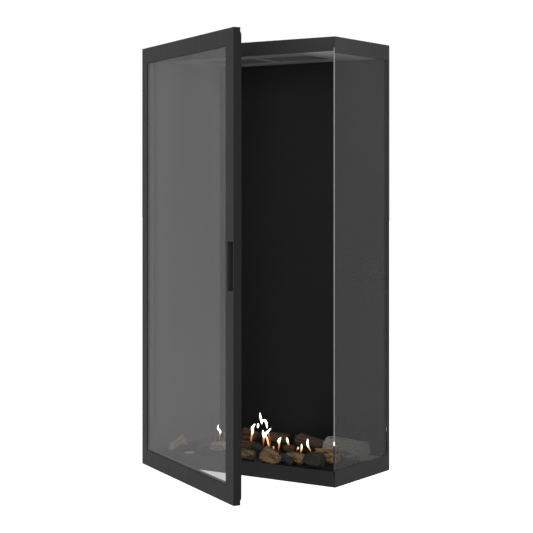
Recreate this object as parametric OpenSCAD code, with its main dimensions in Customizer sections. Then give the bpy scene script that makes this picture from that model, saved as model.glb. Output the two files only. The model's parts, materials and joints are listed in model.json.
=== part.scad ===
// Tall corner gas fireplace: a steel cabinet with a log fire, a frameless glass
// side on the right, and a framed glass door hinged on the left.
// Millimetres, +X right, +Y back, +Z up, origin at the centre of the bottom face.
// The door is drawn standing open, as the fire is shown.

/* [Cabinet] */
// Width of the cabinet
body_w = 640; // [600:5:760]
// Depth of the cabinet, without the door
body_d = 295; // [285:5:360]
// Height of the cabinet
body_h = 1200; // [900:10:1400]
// Thickness of the casing sheet
sheet = 1.5; // [1.2:0.1:2]
// Height of the base at the front
base_h = 41; // [38:1:60]
// Height of the base at the glass side
base_side_h = 44; // [42:1:64]
// Height of the valance at the front, and depth of the ceiling below the top
valance_h = 38.5; // [36:0.5:41]
// Height of the valance at the glass side
valance_side_h = 43; // [42:0.5:60]
// How far the hearth floor lies below the front edge of the base
floor_drop = 0.5; // [0.2:0.1:6]
// Width of the casing's fold beside the door hinges
jamb_fold = 19; // [17:0.5:22]
// Distance from the left side to the firebox liner
liner_inset = 41; // [36:1:60]
// Width of the liner's return in front of the back panel
liner_return = 24.5; // [12:0.5:40]
// Depth left behind the firebox for its back panel, insulation and stiffeners
rear_space = 24; // [22:0.5:30]
// Thickness of the firebox back panel
back_t = 3; // [2:0.5:5]
// Thickness of the insulation boards
board_t = 10; // [6:0.5:12]
// Width of the trim at the rear edge of the side glass
trim_w = 13; // [11:0.5:18]
// Distance between the wall fixing nuts across the back
fixing_x = 400; // [300:10:440]
// Distance between the wall fixing nuts up the back
fixing_z = 900; // [500:10:940]
// Radius of the wall fixing holes
fixing_r = 4; // [3:0.5:5]

/* [Glass] */
// Thickness of the ceramic glass
glass_t = 4; // [4:0.5:5]
// How far the side glass runs in behind the base, the valance and the trim
glass_hide = 14; // [12:0.5:14]
// How far the side glass runs in behind the rear trim
glass_hide_rear = 5.5; // [4:0.5:6]
// Thickness of the seal beside and below the side glass
glass_seal_t = 1.5; // [1:0.25:2]

/* [Ceiling] */
// Length of each ceiling opening across the cabinet
vent_w = 176; // [120:2:190]
// Depth of each ceiling opening
vent_d = 130; // [100:5:150]
// Width of the bar between the two ceiling openings
vent_bar = 11; // [8:1:30]
// Distance from the front plane to the ceiling openings
vent_front = 74.5; // [66:0.5:90]
// Headroom above the ceiling openings
collector_h = 12; // [10:0.5:14]
// Inner radius of the flue socket
flue_r = 50; // [40:1:50]
// Inner radius of the air inlet ring around the flue
air_r = 75; // [65:1:75]

/* [Door] */
// How far the door stops short of the cabinet's top and bottom
door_lift = 0.5; // [0.3:0.1:4]
// Thickness of the door
door_t = 19; // [19:0.5:22]
// Angle at which the door stands open
door_angle = 30.1; // [0:0.1:89]
// Gap between the closed door and the cabinet front
door_gap = 4.7; // [4.5:0.1:6]
// Distance from the cabinet's left side to the closed door's edge
door_inset = 4.7; // [3:0.1:5]
// Distance from the closed door's free edge to the cabinet's right side
door_reveal = 2.3; // [1:0.1:4]
// Width of the door frame at the hinge side
hinge_stile_w = 38; // [36:0.5:48]
// Width of the door frame at the latch side
latch_stile_w = 47.5; // [46:0.5:56]
// Height of the door frame at the top and bottom
rail_h = 44.4; // [40:0.2:56]
// Thickness of the frame's front skin, behind which the glass sits
skin_t = 2.7; // [2:0.1:3]
// Wall of the frame tubes
tube_wall = 1.5; // [1.2:0.1:2]
// Width of the rebate that holds the glass
rebate = 7.5; // [7:0.5:9]
// How far the door glass reaches behind the frame's skin
glass_lap = 5; // [4:0.5:6]
// Height of the grip recess
grip_h = 127; // [90:1:160]
// Width of the grip recess
grip_w = 36.5; // [30:0.5:36.5]
// Height of the grip's centre above the bottom of the door
grip_z = 599; // [400:1:700]
// Distance from the hinge pin to the door's left edge
pin_side = 7; // [7:0.25:8]
// Distance from the hinge pin to the door's front face
pin_front = 14; // [13.5:0.25:14]
// Radius of the hinge pins
pin_r = 2.5; // [2:0.25:2.5]
// Running clearance of the hinge pins in their bushes
pin_gap = 0.05; // [0.02:0.01:0.1]
// Distance from the door's ends to its hinges
hinge_end = 100; // [80:5:250]

/* [Fire] */
// Distance from the liner to the burner
burner_left = 79; // [78:1:120]
// Distance from the burner to the side glass
burner_right = 75; // [74:1:110]
// Distance from the front to the middle of the burner
burner_front = 116; // [114:0.5:130]
// Depth of the burner from front to back
burner_d = 80; // [60:2:82]
// Depth of the burner pan below the floor
burner_drop = 28.5; // [27:0.5:30]
// Diameter of the gas pipe
pipe_d = 8; // [6:1:10]
// Height of the log shelf at the back of the hearth
shelf_h = 19; // [14:1:24]

/* [Hidden] */

$fn = 48;
seat = 0.3;
eps = 1;
half_w = body_w / 2;
front_y = -body_d / 2;
rear_y = body_d / 2;
floor_z = base_h - floor_drop;
valance_z = body_h - valance_h;
ceiling_z = valance_z;
side_head_z = body_h - valance_side_h;
top_z = body_h - sheet;
back_y = rear_y - rear_space;
panel_y = back_y + sheet;
liner_x = -half_w + liner_inset;
jamb_x = -half_w + jamb_fold;

// Side glass and the channels that hold it
glass_out_x = half_w - sheet;
glass_in_x = glass_out_x - glass_t;
channel_x1 = glass_in_x - glass_seal_t;
channel_x0 = channel_x1 - sheet;
glass_z0 = base_side_h - glass_hide;
glass_play = 1;
notch_play = 0.3;
glass_z1 = side_head_z + glass_hide - glass_play;
glass_y1 = rear_y - trim_w + glass_hide_rear;
trim_leg_y = glass_y1 + glass_seal_t;

// Ceiling openings and flue share one centre line, a little right of the cabinet's middle
vent_x = 3.5;
vent_y0 = front_y + vent_front;
flue_y = vent_y0 + vent_d / 2;
collector_lap = 8;
collector_z = ceiling_z + sheet + collector_h;
ring_wall = 2;

// Burner, between the front strip of the floor and the log shelf
shelf_gap = 5;
burner_flange = 8;
burner_x0 = liner_x + burner_left;
burner_x1 = glass_in_x - burner_right;
burner_w = burner_x1 - burner_x0;
burner_x = (burner_x0 + burner_x1) / 2;
burner_y = front_y + burner_front;
burner_z = floor_z - burner_drop;
burner_top = floor_z + sheet;
ember_t = 5;
deck_z = floor_z - ember_t;
port_margin = 20;
shelf_z = floor_z + shelf_h;
shelf_left = 60;
shelf_right = 89.5;
shelf_x0 = burner_x0 + shelf_left;
shelf_x1 = burner_x1 - shelf_right;
shelf_y = burner_y + burner_d / 2 + burner_flange + shelf_gap;

bearer_t = 2;
bearer_inset = 25;
post_lap = 20;
back_seal_w = 6;
top_flange = 24;
air_ring_l = 12;

// Wall fixings, rear frame and screws
rear_wall_y = rear_y - sheet;
fixing_mid_z = body_h / 2;
nut_r = 7.5;
nut_h = 6.5;
stiffener_x = 150;
stiffener_w = 40;
screw_r = 2;
screw_head_r = screw_r + sheet;
screw_l = 8;
screw_inset = 35;
casing_screw_x = [for (share = [-1, -1 / 3, 1 / 3, 1]) share * (half_w - screw_inset)];
screw_low_z = base_h / 2;
screw_high_z = body_h - 2 * top_flange / 3;

// Gas line
gas_x = -half_w + 58;
gas_z = 18;
gas_bend = 14;
inlet_l = 24;
pipe_r = pipe_d / 2;
pipe_bore_r = pipe_r - 1;
socket_r = pipe_r + 3;
inlet_nut_r = pipe_r + 6;
inlet_nut_h = 6;
injector_gap = 12;
injector_lap = 6;
injector_nut_h = 18;
injector_l = 30;
jet_r = 0.8;

// Hinge line and door
door_w = body_w - door_inset - door_reveal;
pin_x = -half_w + door_inset + pin_side;
door_front = front_y - door_gap - door_t;
pin_y = door_front + pin_front;
pin_l = 34;
arm_h = 5;
arm_r = 5;
arm_gap = 0.6;
bush_r = pin_r + 1.5;
bush_l = 12;
door_z0 = door_lift;
door_z1 = body_h - door_lift;
hinge_zs = [hinge_end, body_h - hinge_end];
block_back = 26;
block_h = 30;
pin_room = 0.5;
pin_end_room = 3;
tape_t = 1.5;
bead_v = skin_t + glass_t + tape_t;
glass_u0 = hinge_stile_w - glass_lap;
glass_u1 = door_w - latch_stile_w + glass_lap;
view_z0 = door_z0 + rail_h;
view_z1 = door_z1 - rail_h;
glass_w0 = view_z0 - glass_lap;
glass_w1 = view_z1 + glass_lap;
latch_u = door_w - latch_stile_w;
cup_wall = 1;
cup_u1 = door_w - tube_wall - 0.5;
bead_pitch = 260;
bead_screw_r = 1.5;
bead_head_h = 1.5;
bead_end = 60;
bead_v_mid = (bead_v + door_t) / 2;
bead_screw_l = rebate + tube_wall;
seal_w = 8;
seal_gap = 0.4;
seal_end = 10;
seal_side = 22;
magnet_r = 6;
magnet_u = latch_u - 25;
magnet_z = 28;
plug_l = 40;
inlet_mouth = 12;
inlet_shoulder = 2;

// Pilot beside the log shelf, and the cap over the floor's service hole
pilot_x = liner_x + 97;
pilot_y = shelf_y + 26.5;
pilot_r = 4;
pilot_h = 34;
pilot_plate_l = 12;
pilot_plate_r = 34;
pilot_plate_w = 14;
sensor_dx = 26;
sensor_r = 1.6;
spark_dx = 14;
spark_r = 3;
spark_h = 20;
probe_l = 30;
cap_x = liner_x + 102;
cap_y = front_y + 18;
cap_r = 15;
cap_h = 1.6;

black = [0.12, 0.12, 0.12];
anthracite = [0.25, 0.25, 0.26];
liner_grey = [0.38, 0.38, 0.38];
glass_grey = [0.45, 0.47, 0.48, 0.4];
board_tan = [0.72, 0.68, 0.58];
brass = [0.78, 0.6, 0.3];
steel = [0.62, 0.63, 0.65];
rope = [0.3, 0.29, 0.28];
log_tan = [0.52, 0.42, 0.3];
log_brown = [0.33, 0.24, 0.19];
log_grey = [0.42, 0.42, 0.41];
char_black = [0.17, 0.17, 0.16];

// Box from its lowest corner to its highest corner
module span(low, high) {
    translate(low) cube(high - low);
}

// Countersunk screw that points forward from y = 0, with its head flush
module screw_shape() {
    rotate([90, 0, 0]) {
        cylinder(h = sheet, r1 = screw_head_r, r2 = screw_r);
        cylinder(h = screw_l, r = screw_r);
    }
}

module at_casing_screws() {
    for (x = casing_screw_x, z = [screw_low_z, screw_high_z]) translate([x, rear_y, z]) children();
}

module at_fixings() {
    for (sx = [-1, 1], sz = [-1, 1])
        translate([sx * fixing_x / 2, rear_y, fixing_mid_z + sz * fixing_z / 2]) rotate([90, 0, 0]) children();
}

/* Casing */

module base_pan() {
    color(anthracite) difference() {
        union() {
            span([-half_w + sheet, front_y, 0], [half_w, rear_wall_y, sheet]);
            span([-half_w, front_y, 0], [half_w, front_y + sheet, base_h]);
            span([glass_out_x, front_y, 0], [half_w, rear_y, base_side_h]);
            span([-half_w + sheet, front_y, 0], [-half_w + 2 * sheet, rear_wall_y, floor_z - sheet]);
            span([-half_w + sheet, rear_wall_y - sheet, 0], [half_w, rear_wall_y, floor_z - sheet]);
        }
        at_casing_screws() rotate([90, 0, 0]) cylinder(h = screw_l, r = screw_r);
        translate([gas_x, rear_y + eps, gas_z]) rotate([90, 0, 0]) cylinder(h = 4 * sheet, r = socket_r);
    }
}

module floor_bearers() {
    color(black) for (x = [-half_w + bearer_inset, half_w - bearer_inset - bearer_t])
        span([x, front_y + sheet, sheet], [x + bearer_t, rear_wall_y - sheet, floor_z - sheet]);
}

module hearth_floor() {
    color(black) difference() {
        span([-half_w + sheet, front_y + sheet, floor_z - sheet], [channel_x0, rear_wall_y, floor_z]);
        span([burner_x0, burner_y - burner_d / 2, 0], [burner_x1, burner_y + burner_d / 2, floor_z + eps]);
    }
}

module log_shelf() {
    color(black) union() {
        span([shelf_x0, shelf_y, shelf_z - sheet], [shelf_x1, back_y, shelf_z]);
        span([shelf_x0, shelf_y, floor_z], [shelf_x1, shelf_y + sheet, shelf_z]);
    }
}

module left_casing() {
    color(anthracite) difference() {
        union() {
            span([-half_w, front_y + sheet, 0], [-half_w + sheet, rear_y, top_z]);
            span([-half_w, front_y, base_h], [jamb_x, front_y + sheet, valance_z]);
        }
        arm_slots();
    }
}

// Slots in the casing and the jamb that the hinge arms pass through
module arm_slots() {
    for (z = hinge_zs)
        span([pin_x - arm_r, front_y - eps, z - arm_h / 2], [pin_x + arm_r, front_y + 2 * sheet + eps, z + arm_h / 2]);
}

module left_jamb() {
    color(anthracite) difference() {
        translate([0, 0, base_h]) linear_extrude(ceiling_z - base_h)
            polygon([[jamb_x, front_y], [liner_x, front_y], [liner_x, front_y + jamb_fold],
                [liner_x - sheet, front_y + jamb_fold], [liner_x - sheet, front_y + 2 * sheet],
                [-half_w + sheet, front_y + 2 * sheet], [-half_w + sheet, front_y + sheet],
                [jamb_x, front_y + sheet]]);
        arm_slots();
    }
}

module left_liner() {
    color(liner_grey) span([liner_x - sheet, front_y + jamb_fold, floor_z], [liner_x, panel_y, ceiling_z]);
}

// Strip that holds the back panel's left edge
module panel_retainer() {
    color(liner_grey) span([liner_x, back_y, floor_z], [liner_x + liner_return, panel_y, ceiling_z]);
}

module left_insulation() {
    color(board_tan) span([liner_x - sheet - board_t, front_y + jamb_fold, floor_z],
        [liner_x - sheet, panel_y, ceiling_z]);
}

module back_panel() {
    color(black) span([liner_x - sheet - board_t, panel_y, floor_z], [channel_x0, panel_y + back_t, ceiling_z]);
}

module rear_insulation() {
    color(board_tan) span([liner_x - sheet - board_t, panel_y + back_t, floor_z],
        [channel_x0, panel_y + back_t + board_t, ceiling_z]);
}

module rear_stiffeners() {
    y0 = panel_y + back_t + board_t;
    color(steel) for (x = [-stiffener_x, stiffener_x]) difference() {
        span([x - stiffener_w / 2, y0, floor_z], [x + stiffener_w / 2, rear_wall_y, ceiling_z]);
        span([x - stiffener_w / 2 + sheet, y0 + sheet, 0], [x + stiffener_w / 2 - sheet, rear_wall_y + eps, body_h]);
    }
}

module rear_casing() {
    color(anthracite) difference() {
        span([-half_w + sheet, rear_wall_y, 0], [half_w - sheet, rear_y, top_z]);
        at_fixings() translate([0, 0, -eps]) cylinder(h = sheet + 2 * eps, r = fixing_r);
        at_casing_screws() screw_shape();
        translate([gas_x, rear_y + eps, gas_z]) rotate([90, 0, 0]) cylinder(h = 4 * sheet, r = socket_r);
    }
}

module fixing_nuts() {
    color(steel) at_fixings() translate([0, 0, sheet]) difference() {
        cylinder(h = nut_h, r = nut_r, $fn = 6);
        translate([0, 0, -eps]) cylinder(h = nut_h + 2 * eps, r = fixing_r);
    }
}

module rear_post() {
    color(black) union() {
        span([channel_x0, panel_y, floor_z], [channel_x1, rear_wall_y, ceiling_z]);
        span([channel_x0 - post_lap, rear_wall_y - sheet, floor_z], [channel_x1, rear_wall_y, ceiling_z]);
    }
}

module rear_trim() {
    color(anthracite) union() {
        span([glass_out_x, rear_y - trim_w, base_side_h], [half_w, rear_y, side_head_z]);
        span([channel_x1, trim_leg_y, base_side_h], [glass_out_x, trim_leg_y + sheet, side_head_z]);
    }
}

module casing_screws() {
    color(steel) at_casing_screws() screw_shape();
}

/* Side glass */

// The pane's lower front corner is notched for the base's front plate
module side_glass() {
    color(glass_grey) union() {
        span([glass_in_x, front_y, base_h + notch_play], [glass_out_x, glass_y1, glass_z1]);
        span([glass_in_x, front_y + sheet + notch_play, glass_z0], [glass_out_x, glass_y1, glass_z1]);
    }
}

module lower_glass_channel() {
    color(black) union() {
        span([channel_x0, front_y + sheet, sheet], [channel_x1, rear_wall_y - sheet, floor_z]);
        span([channel_x1, front_y + sheet, glass_z0 - glass_seal_t - sheet],
            [glass_out_x, rear_wall_y - sheet, glass_z0 - glass_seal_t]);
    }
}

module upper_glass_channel() {
    color(black) union() {
        span([channel_x0, front_y + sheet, ceiling_z], [channel_x1, rear_wall_y, top_z]);
        span([channel_x1, front_y + sheet, glass_z1 + glass_seal_t],
            [glass_out_x, rear_wall_y, glass_z1 + glass_seal_t + sheet]);
    }
}

module side_glass_seals() {
    color(rope) {
        span([channel_x1, front_y + sheet, glass_z0], [glass_in_x, glass_y1, floor_z]);
        span([glass_in_x, front_y + sheet, glass_z0 - glass_seal_t], [glass_out_x, glass_y1, glass_z0]);
        span([channel_x1, front_y + sheet, ceiling_z], [glass_in_x, glass_y1, glass_z1]);
        span([channel_x1, panel_y, floor_z], [glass_in_x, panel_y + back_seal_w, ceiling_z]);
        span([glass_in_x, glass_y1, base_side_h], [glass_out_x, trim_leg_y, side_head_z]);
    }
}

/* Ceiling, flue and top */

module at_vents() {
    for (side = [-1, 1]) translate([vent_x + side * (vent_bar + vent_w) / 2, vent_y0 + vent_d / 2, 0]) children();
}

module ceiling_plate() {
    color(liner_grey) difference() {
        union() {
            span([-half_w + sheet, front_y + sheet, ceiling_z], [channel_x0, rear_wall_y, ceiling_z + sheet]);
            span([-half_w + sheet, front_y + sheet, ceiling_z], [channel_x0, front_y + 2 * sheet, top_z]);
        }
        at_vents() span([-vent_w / 2, -vent_d / 2, ceiling_z - eps], [vent_w / 2, vent_d / 2, ceiling_z + 2 * sheet]);
    }
}

module flue_collector() {
    half_l = vent_w + vent_bar / 2 + collector_lap;
    half_d = vent_d / 2 + collector_lap;
    color(liner_grey) difference() {
        translate([vent_x, flue_y, ceiling_z + sheet])
            span([-half_l, -half_d, 0], [half_l, half_d, collector_h + sheet]);
        translate([vent_x, flue_y, ceiling_z])
            span([sheet - half_l, sheet - half_d, 0], [half_l - sheet, half_d - sheet, sheet + collector_h]);
        translate([vent_x, flue_y, ceiling_z]) cylinder(h = body_h, r = flue_r, $fn = 96);
    }
}

module tube_ring(r, z0, z1) {
    translate([vent_x, flue_y, z0]) difference() {
        cylinder(h = z1 - z0, r = r + ring_wall, $fn = 96);
        translate([0, 0, -eps]) cylinder(h = z1 - z0 + 2 * eps, r = r, $fn = 96);
    }
}

module flue_socket() {
    color(steel) tube_ring(flue_r, collector_z + sheet, body_h);
}

module air_ring() {
    color(steel) tube_ring(air_r, top_z - air_ring_l, body_h);
}

module top_plate() {
    color(anthracite) difference() {
        union() {
            span([-half_w, front_y, top_z], [half_w, rear_y, body_h]);
            span([-half_w + sheet, rear_wall_y - sheet, top_z - top_flange], [channel_x0, rear_wall_y, top_z]);
        }
        translate([vent_x, flue_y, 0]) cylinder(h = body_h + eps, r = air_r + ring_wall, $fn = 96);
        at_casing_screws() rotate([90, 0, 0]) cylinder(h = screw_l, r = screw_r);
    }
}

module front_valance() {
    color(anthracite) difference() {
        span([-half_w, front_y, valance_z], [half_w - sheet, front_y + sheet, top_z]);
        span([glass_in_x, front_y - eps, 0], [half_w, front_y + sheet + eps, glass_z1]);
    }
}

module side_valance() {
    color(anthracite) span([glass_out_x, front_y, side_head_z], [half_w, rear_y, top_z]);
}

/* Burner and gas line */

module burner_pan() {
    x0 = burner_x0;
    x1 = burner_x1;
    y0 = burner_y - burner_d / 2;
    y1 = burner_y + burner_d / 2;
    color(steel) difference() {
        union() {
            span([x0, y0, burner_z], [x1, y1, burner_top]);
            span([x0 - burner_flange, y0 - burner_flange, floor_z],
                [x1 + burner_flange, y1 + burner_flange, burner_top]);
        }
        span([x0 + sheet, y0 + sheet, burner_z + sheet], [x1 - sheet, y1 - sheet, body_h]);
        translate([x0 - eps, burner_y, gas_z]) rotate([0, 90, 0]) cylinder(h = 2 * eps + sheet, r = pipe_r);
    }
}

module burner_deck() {
    port_r = 2;
    port_gap = 20;
    half_ports = floor((burner_w / 2 - port_margin) / port_gap);
    color(steel) difference() {
        translate([burner_x, burner_y, 0])
            span([sheet - burner_w / 2, sheet - burner_d / 2, deck_z - sheet],
                [burner_w / 2 - sheet, burner_d / 2 - sheet, deck_z]);
        for (i = [-half_ports : half_ports], row = [-1, 1])
            translate([burner_x + i * port_gap, burner_y + row * burner_d / 5, 0])
                cylinder(h = deck_z + eps, r = port_r, $fn = 16);
    }
}

// Low bed of broken embers: a grid of heights that rises and falls between two limits
module ember_bed() {
    nx = 32;
    ny = 8;
    margin = sheet + seat;
    w = burner_w - 2 * margin;
    d = burner_d - 2 * margin;
    low = deck_z;
    function height(i, j) = burner_top - 0.5 + 0.25 * sin(i * 97 + j * 41) + 0.25 * sin(i * 53 - j * 113);
    pts = concat(
        [for (j = [0 : ny], i = [0 : nx]) [w * (i / nx - 0.5), d * (j / ny - 0.5), height(i, j)]],
        [for (j = [0 : ny], i = [0 : nx]) [w * (i / nx - 0.5), d * (j / ny - 0.5), low]]);
    n = (nx + 1) * (ny + 1);
    function id(i, j, k) = k * n + j * (nx + 1) + i;
    faces = concat(
        [for (j = [0 : ny - 1], i = [0 : nx - 1]) [id(i, j, 0), id(i + 1, j + 1, 0), id(i + 1, j, 0)]],
        [for (j = [0 : ny - 1], i = [0 : nx - 1]) [id(i, j, 0), id(i, j + 1, 0), id(i + 1, j + 1, 0)]],
        [for (j = [0 : ny - 1], i = [0 : nx - 1]) [id(i, j, 1), id(i + 1, j, 1), id(i + 1, j + 1, 1)]],
        [for (j = [0 : ny - 1], i = [0 : nx - 1]) [id(i, j, 1), id(i + 1, j + 1, 1), id(i, j + 1, 1)]],
        [for (i = [0 : nx - 1]) [id(i, 0, 0), id(i + 1, 0, 0), id(i + 1, 0, 1)]],
        [for (i = [0 : nx - 1]) [id(i, 0, 0), id(i + 1, 0, 1), id(i, 0, 1)]],
        [for (i = [0 : nx - 1]) [id(i, ny, 0), id(i + 1, ny, 1), id(i + 1, ny, 0)]],
        [for (i = [0 : nx - 1]) [id(i, ny, 0), id(i, ny, 1), id(i + 1, ny, 1)]],
        [for (j = [0 : ny - 1]) [id(0, j, 0), id(0, j + 1, 1), id(0, j + 1, 0)]],
        [for (j = [0 : ny - 1]) [id(0, j, 0), id(0, j, 1), id(0, j + 1, 1)]],
        [for (j = [0 : ny - 1]) [id(nx, j, 0), id(nx, j + 1, 0), id(nx, j + 1, 1)]],
        [for (j = [0 : ny - 1]) [id(nx, j, 0), id(nx, j + 1, 1), id(nx, j, 1)]]);
    color(char_black) translate([burner_x, burner_y, 0]) polyhedron(pts, faces);
}

module gas_inlet() {
    color(brass) translate([gas_x, rear_y, gas_z]) rotate([90, 0, 0]) difference() {
        union() {
            cylinder(h = inlet_l, r = socket_r);
            translate([0, 0, 2 * sheet]) cylinder(h = inlet_nut_h, r = inlet_nut_r, $fn = 6);
        }
        translate([0, 0, -eps]) cylinder(h = inlet_mouth + eps, r = pipe_r);
        cylinder(h = inlet_l, r = pipe_bore_r);
        translate([0, 0, inlet_mouth + inlet_shoulder]) cylinder(h = inlet_l, r = pipe_r);
    }
}

// The pipe starts at the shoulder inside the inlet, runs forward, and bends to the burner
module gas_pipe() {
    y_start = rear_y - inlet_mouth - inlet_shoulder;
    y_bend = burner_y + gas_bend;
    x_end = burner_x0 - injector_gap;
    module ring() {
        difference() {
            circle(r = pipe_r);
            circle(r = pipe_bore_r);
        }
    }
    color(brass) translate([0, 0, gas_z]) union() {
        translate([gas_x, y_start, 0]) rotate([90, 0, 0]) linear_extrude(y_start - y_bend) ring();
        translate([gas_x + gas_bend, y_bend, 0]) rotate([0, 0, 180])
            rotate_extrude(angle = 90) translate([gas_bend, 0]) ring();
        translate([gas_x + gas_bend, burner_y, 0]) rotate([90, 0, 90])
            linear_extrude(x_end - gas_x - gas_bend) ring();
    }
}

module injector() {
    x_start = burner_x0 - injector_gap - injector_lap;
    color(brass) translate([x_start, burner_y, gas_z]) rotate([0, 90, 0]) difference() {
        union() {
            cylinder(h = injector_nut_h, r = socket_r, $fn = 6);
            cylinder(h = injector_l, r = pipe_r);
        }
        translate([0, 0, -eps]) cylinder(h = injector_lap + eps, r = pipe_r);
        cylinder(h = injector_l + eps, r = jet_r, $fn = 16);
    }
}

module pilot_burner() {
    color(steel) translate([pilot_x, pilot_y, floor_z]) union() {
        span([-pilot_plate_l, -pilot_plate_w / 2, 0], [pilot_plate_r, pilot_plate_w / 2, sheet]);
        difference() {
            cylinder(h = pilot_h, r = pilot_r);
            translate([0, 0, pilot_r + sheet]) cylinder(h = pilot_h, r = pilot_r - 1);
        }
        translate([sensor_dx, 0, 0]) cylinder(h = probe_l, r = sensor_r, $fn = 24);
    }
}

module spark_electrode() {
    color([0.9, 0.9, 0.88]) translate([pilot_x + spark_dx, pilot_y, floor_z + sheet]) union() {
        cylinder(h = spark_h, r = spark_r, $fn = 24);
        cylinder(h = probe_l, r = jet_r, $fn = 16);
    }
}

module floor_cap() {
    color(steel) translate([cap_x, cap_y, floor_z]) cylinder(h = cap_h, r = cap_r);
}

/* Logs and charcoal */

// One log from the plan point a to the plan point b, with its radius at each end. It lies on the
// height rest: each ring is a wavy circle around the axis, cut off flat where it would pass below.
module log_piece(a, b, ra, rb, rest, seed) {
    rings = 7;
    sides = 12;
    low = rest + seat;
    pa = [a.x, a.y, low + 0.82 * ra];
    pb = [b.x, b.y, low + 0.82 * rb];
    along = (pb - pa) / norm(pb - pa);
    across = [-along.y, along.x, 0] / norm([along.x, along.y]);
    up = cross(along, across);
    function wave(t, q) =
        0.9 + 0.06 * sin(3 * q + 61 * seed + 160 * t) + 0.04 * sin(5 * q - 37 * seed + 290 * t);
    function shrink(k) = k == 0 || k == rings ? 0.82 : 1;
    function ring_point(k, j) =
        let (t = k / rings, q = 360 * j / sides, r = (ra + (rb - ra) * t) * wave(t, q) * shrink(k))
        pa + (pb - pa) * t + r * (cos(q) * across + sin(q) * up);
    function lifted(p) = [p.x, p.y, max(p.z, low)];
    pts = concat([for (k = [0 : rings], j = [0 : sides - 1]) lifted(ring_point(k, j))], [pa, pb]);
    function id(k, j) = k * sides + j % sides;
    tip = (rings + 1) * sides;
    faces = concat(
        [for (k = [0 : rings - 1], j = [0 : sides - 1]) [id(k, j), id(k + 1, j), id(k + 1, j + 1)]],
        [for (k = [0 : rings - 1], j = [0 : sides - 1]) [id(k, j), id(k + 1, j + 1), id(k, j + 1)]],
        [for (j = [0 : sides - 1]) [tip, id(0, j), id(0, j + 1)]],
        [for (j = [0 : sides - 1]) [tip + 1, id(rings, j + 1), id(rings, j)]]);
    polyhedron(pts, faces);
}

// Plan points of the logs. share runs from the liner's front edge to the side glass; d is measured
// back from the cabinet's front, from the burner's middle or from the log shelf's front edge.
function log_x(share) = liner_x + share * (glass_in_x - liner_x);
function on_floor(share, d) = [log_x(share), front_y + d];
function on_burner(share, d) = [log_x(share), burner_y + d];
function on_shelf(share, d) = [log_x(share), shelf_y + d];

module front_logs() {
    color(log_tan) {
        log_piece(on_floor(0.436, 43.5), on_floor(0.507, 25.5), 15, 14, floor_z, 1);
        log_piece(on_floor(0.571, 43.5), on_floor(0.642, 28.5), 25, 20, floor_z, 2);
        log_piece(on_burner(0.693, -34.5), on_burner(0.777, -60.5), 17, 18, burner_top, 3);
        log_piece(on_burner(0.807, -2.5), on_burner(0.905, -18.5), 17, 23, burner_top, 4);
        log_piece(on_floor(0.072, 29.5), on_floor(0.062, 81.5), 11, 12, floor_z, 5);
        log_piece(on_burner(0.241, -42.5), on_burner(0.302, -30.5), 15, 15, burner_top, 6);
    }
}

module middle_logs() {
    color(log_brown) {
        log_piece(on_burner(0.568, 35.5), on_burner(0.652, 37.5), 13, 12, burner_top, 7);
        log_piece(on_burner(0.308, 17.5), on_burner(0.42, 11.5), 17, 16, burner_top, 8);
        log_piece(on_burner(0.15, -26.5), on_burner(0.157, 21.5), 14, 12, burner_top, 9);
        log_piece(on_floor(0.187, 45.5), on_floor(0.224, 51.5), 11, 10, floor_z, 10);
    }
}

module back_logs() {
    color(log_brown) {
        log_piece(on_shelf(0.585, 38.5), on_shelf(0.743, 26.5), 18.5, 13.5, shelf_z, 11);
        log_piece(on_shelf(0.413, 38.5), on_shelf(0.531, 38.5), 16, 16, shelf_z, 12);
        log_piece(on_shelf(0.265, 40.5), on_shelf(0.356, 40.5), 16, 14, shelf_z, 13);
    }
}

module big_side_log() {
    color(log_grey) log_piece(on_floor(0.767, 205.5), on_floor(0.962, 201.5), 32, 31, floor_z, 15);
}

module charcoal_lumps() {
    color(char_black) {
        log_piece(on_floor(0.674, 51.5), on_floor(0.733, 16.5), 12, 14, floor_z, 16);
        log_piece(on_floor(0.831, 27.5), on_floor(0.898, 27.5), 21, 20, floor_z, 17);
        log_piece(on_burner(0.443, -16.5), on_burner(0.504, -18.5), 16, 15, burner_top, 18);
        log_piece(on_floor(0.521, 12.5), on_floor(0.554, 10.5), 8, 7, floor_z, 19);
        log_piece(on_floor(0.268, 19.5), on_floor(0.308, 22.5), 8, 8, floor_z, 20);
        log_piece(on_floor(0.359, 21.5), on_floor(0.362, 47.5), 9, 10, floor_z, 21);
        log_piece(on_burner(0.527, 21.5), on_burner(0.541, -4.5), 12, 12, burner_top, 22);
        log_piece(on_burner(0.74, 1.5), on_burner(0.783, 11.5), 10, 10, burner_top, 23);
    }
}

/* Hinges on the cabinet */

module hinge_bracket(z) {
    block_x1 = jamb_x - eps;
    color(steel) difference() {
        union() {
            span([-half_w + sheet, front_y + 2 * sheet, z - block_h / 2], [block_x1, front_y + block_back, z + block_h / 2]);
            span([pin_x - arm_r, pin_y, z - arm_h / 2], [pin_x + arm_r, front_y + block_back, z + arm_h / 2]);
            translate([pin_x, pin_y, z - arm_h / 2]) cylinder(h = arm_h, r = arm_r);
        }
        translate([pin_x, pin_y, z - arm_h]) cylinder(h = 2 * arm_h, r = pin_r);
    }
}

module lower_hinge_bracket() {
    hinge_bracket(hinge_zs[0]);
}

module upper_hinge_bracket() {
    hinge_bracket(hinge_zs[1]);
}

module hinge_pins() {
    color(steel) for (z = hinge_zs) translate([pin_x, pin_y, z - pin_l / 2]) cylinder(h = pin_l, r = pin_r);
}

/* Door: its pieces are drawn closed, in door coordinates, and swung open about the hinge pins */

// Door coordinates: x from the hinge edge, y from the front face back, z from the bottom
module in_door() {
    translate([pin_x, pin_y, 0]) rotate([0, 0, -door_angle]) translate([-pin_side, -pin_front, 0]) children();
}

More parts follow.
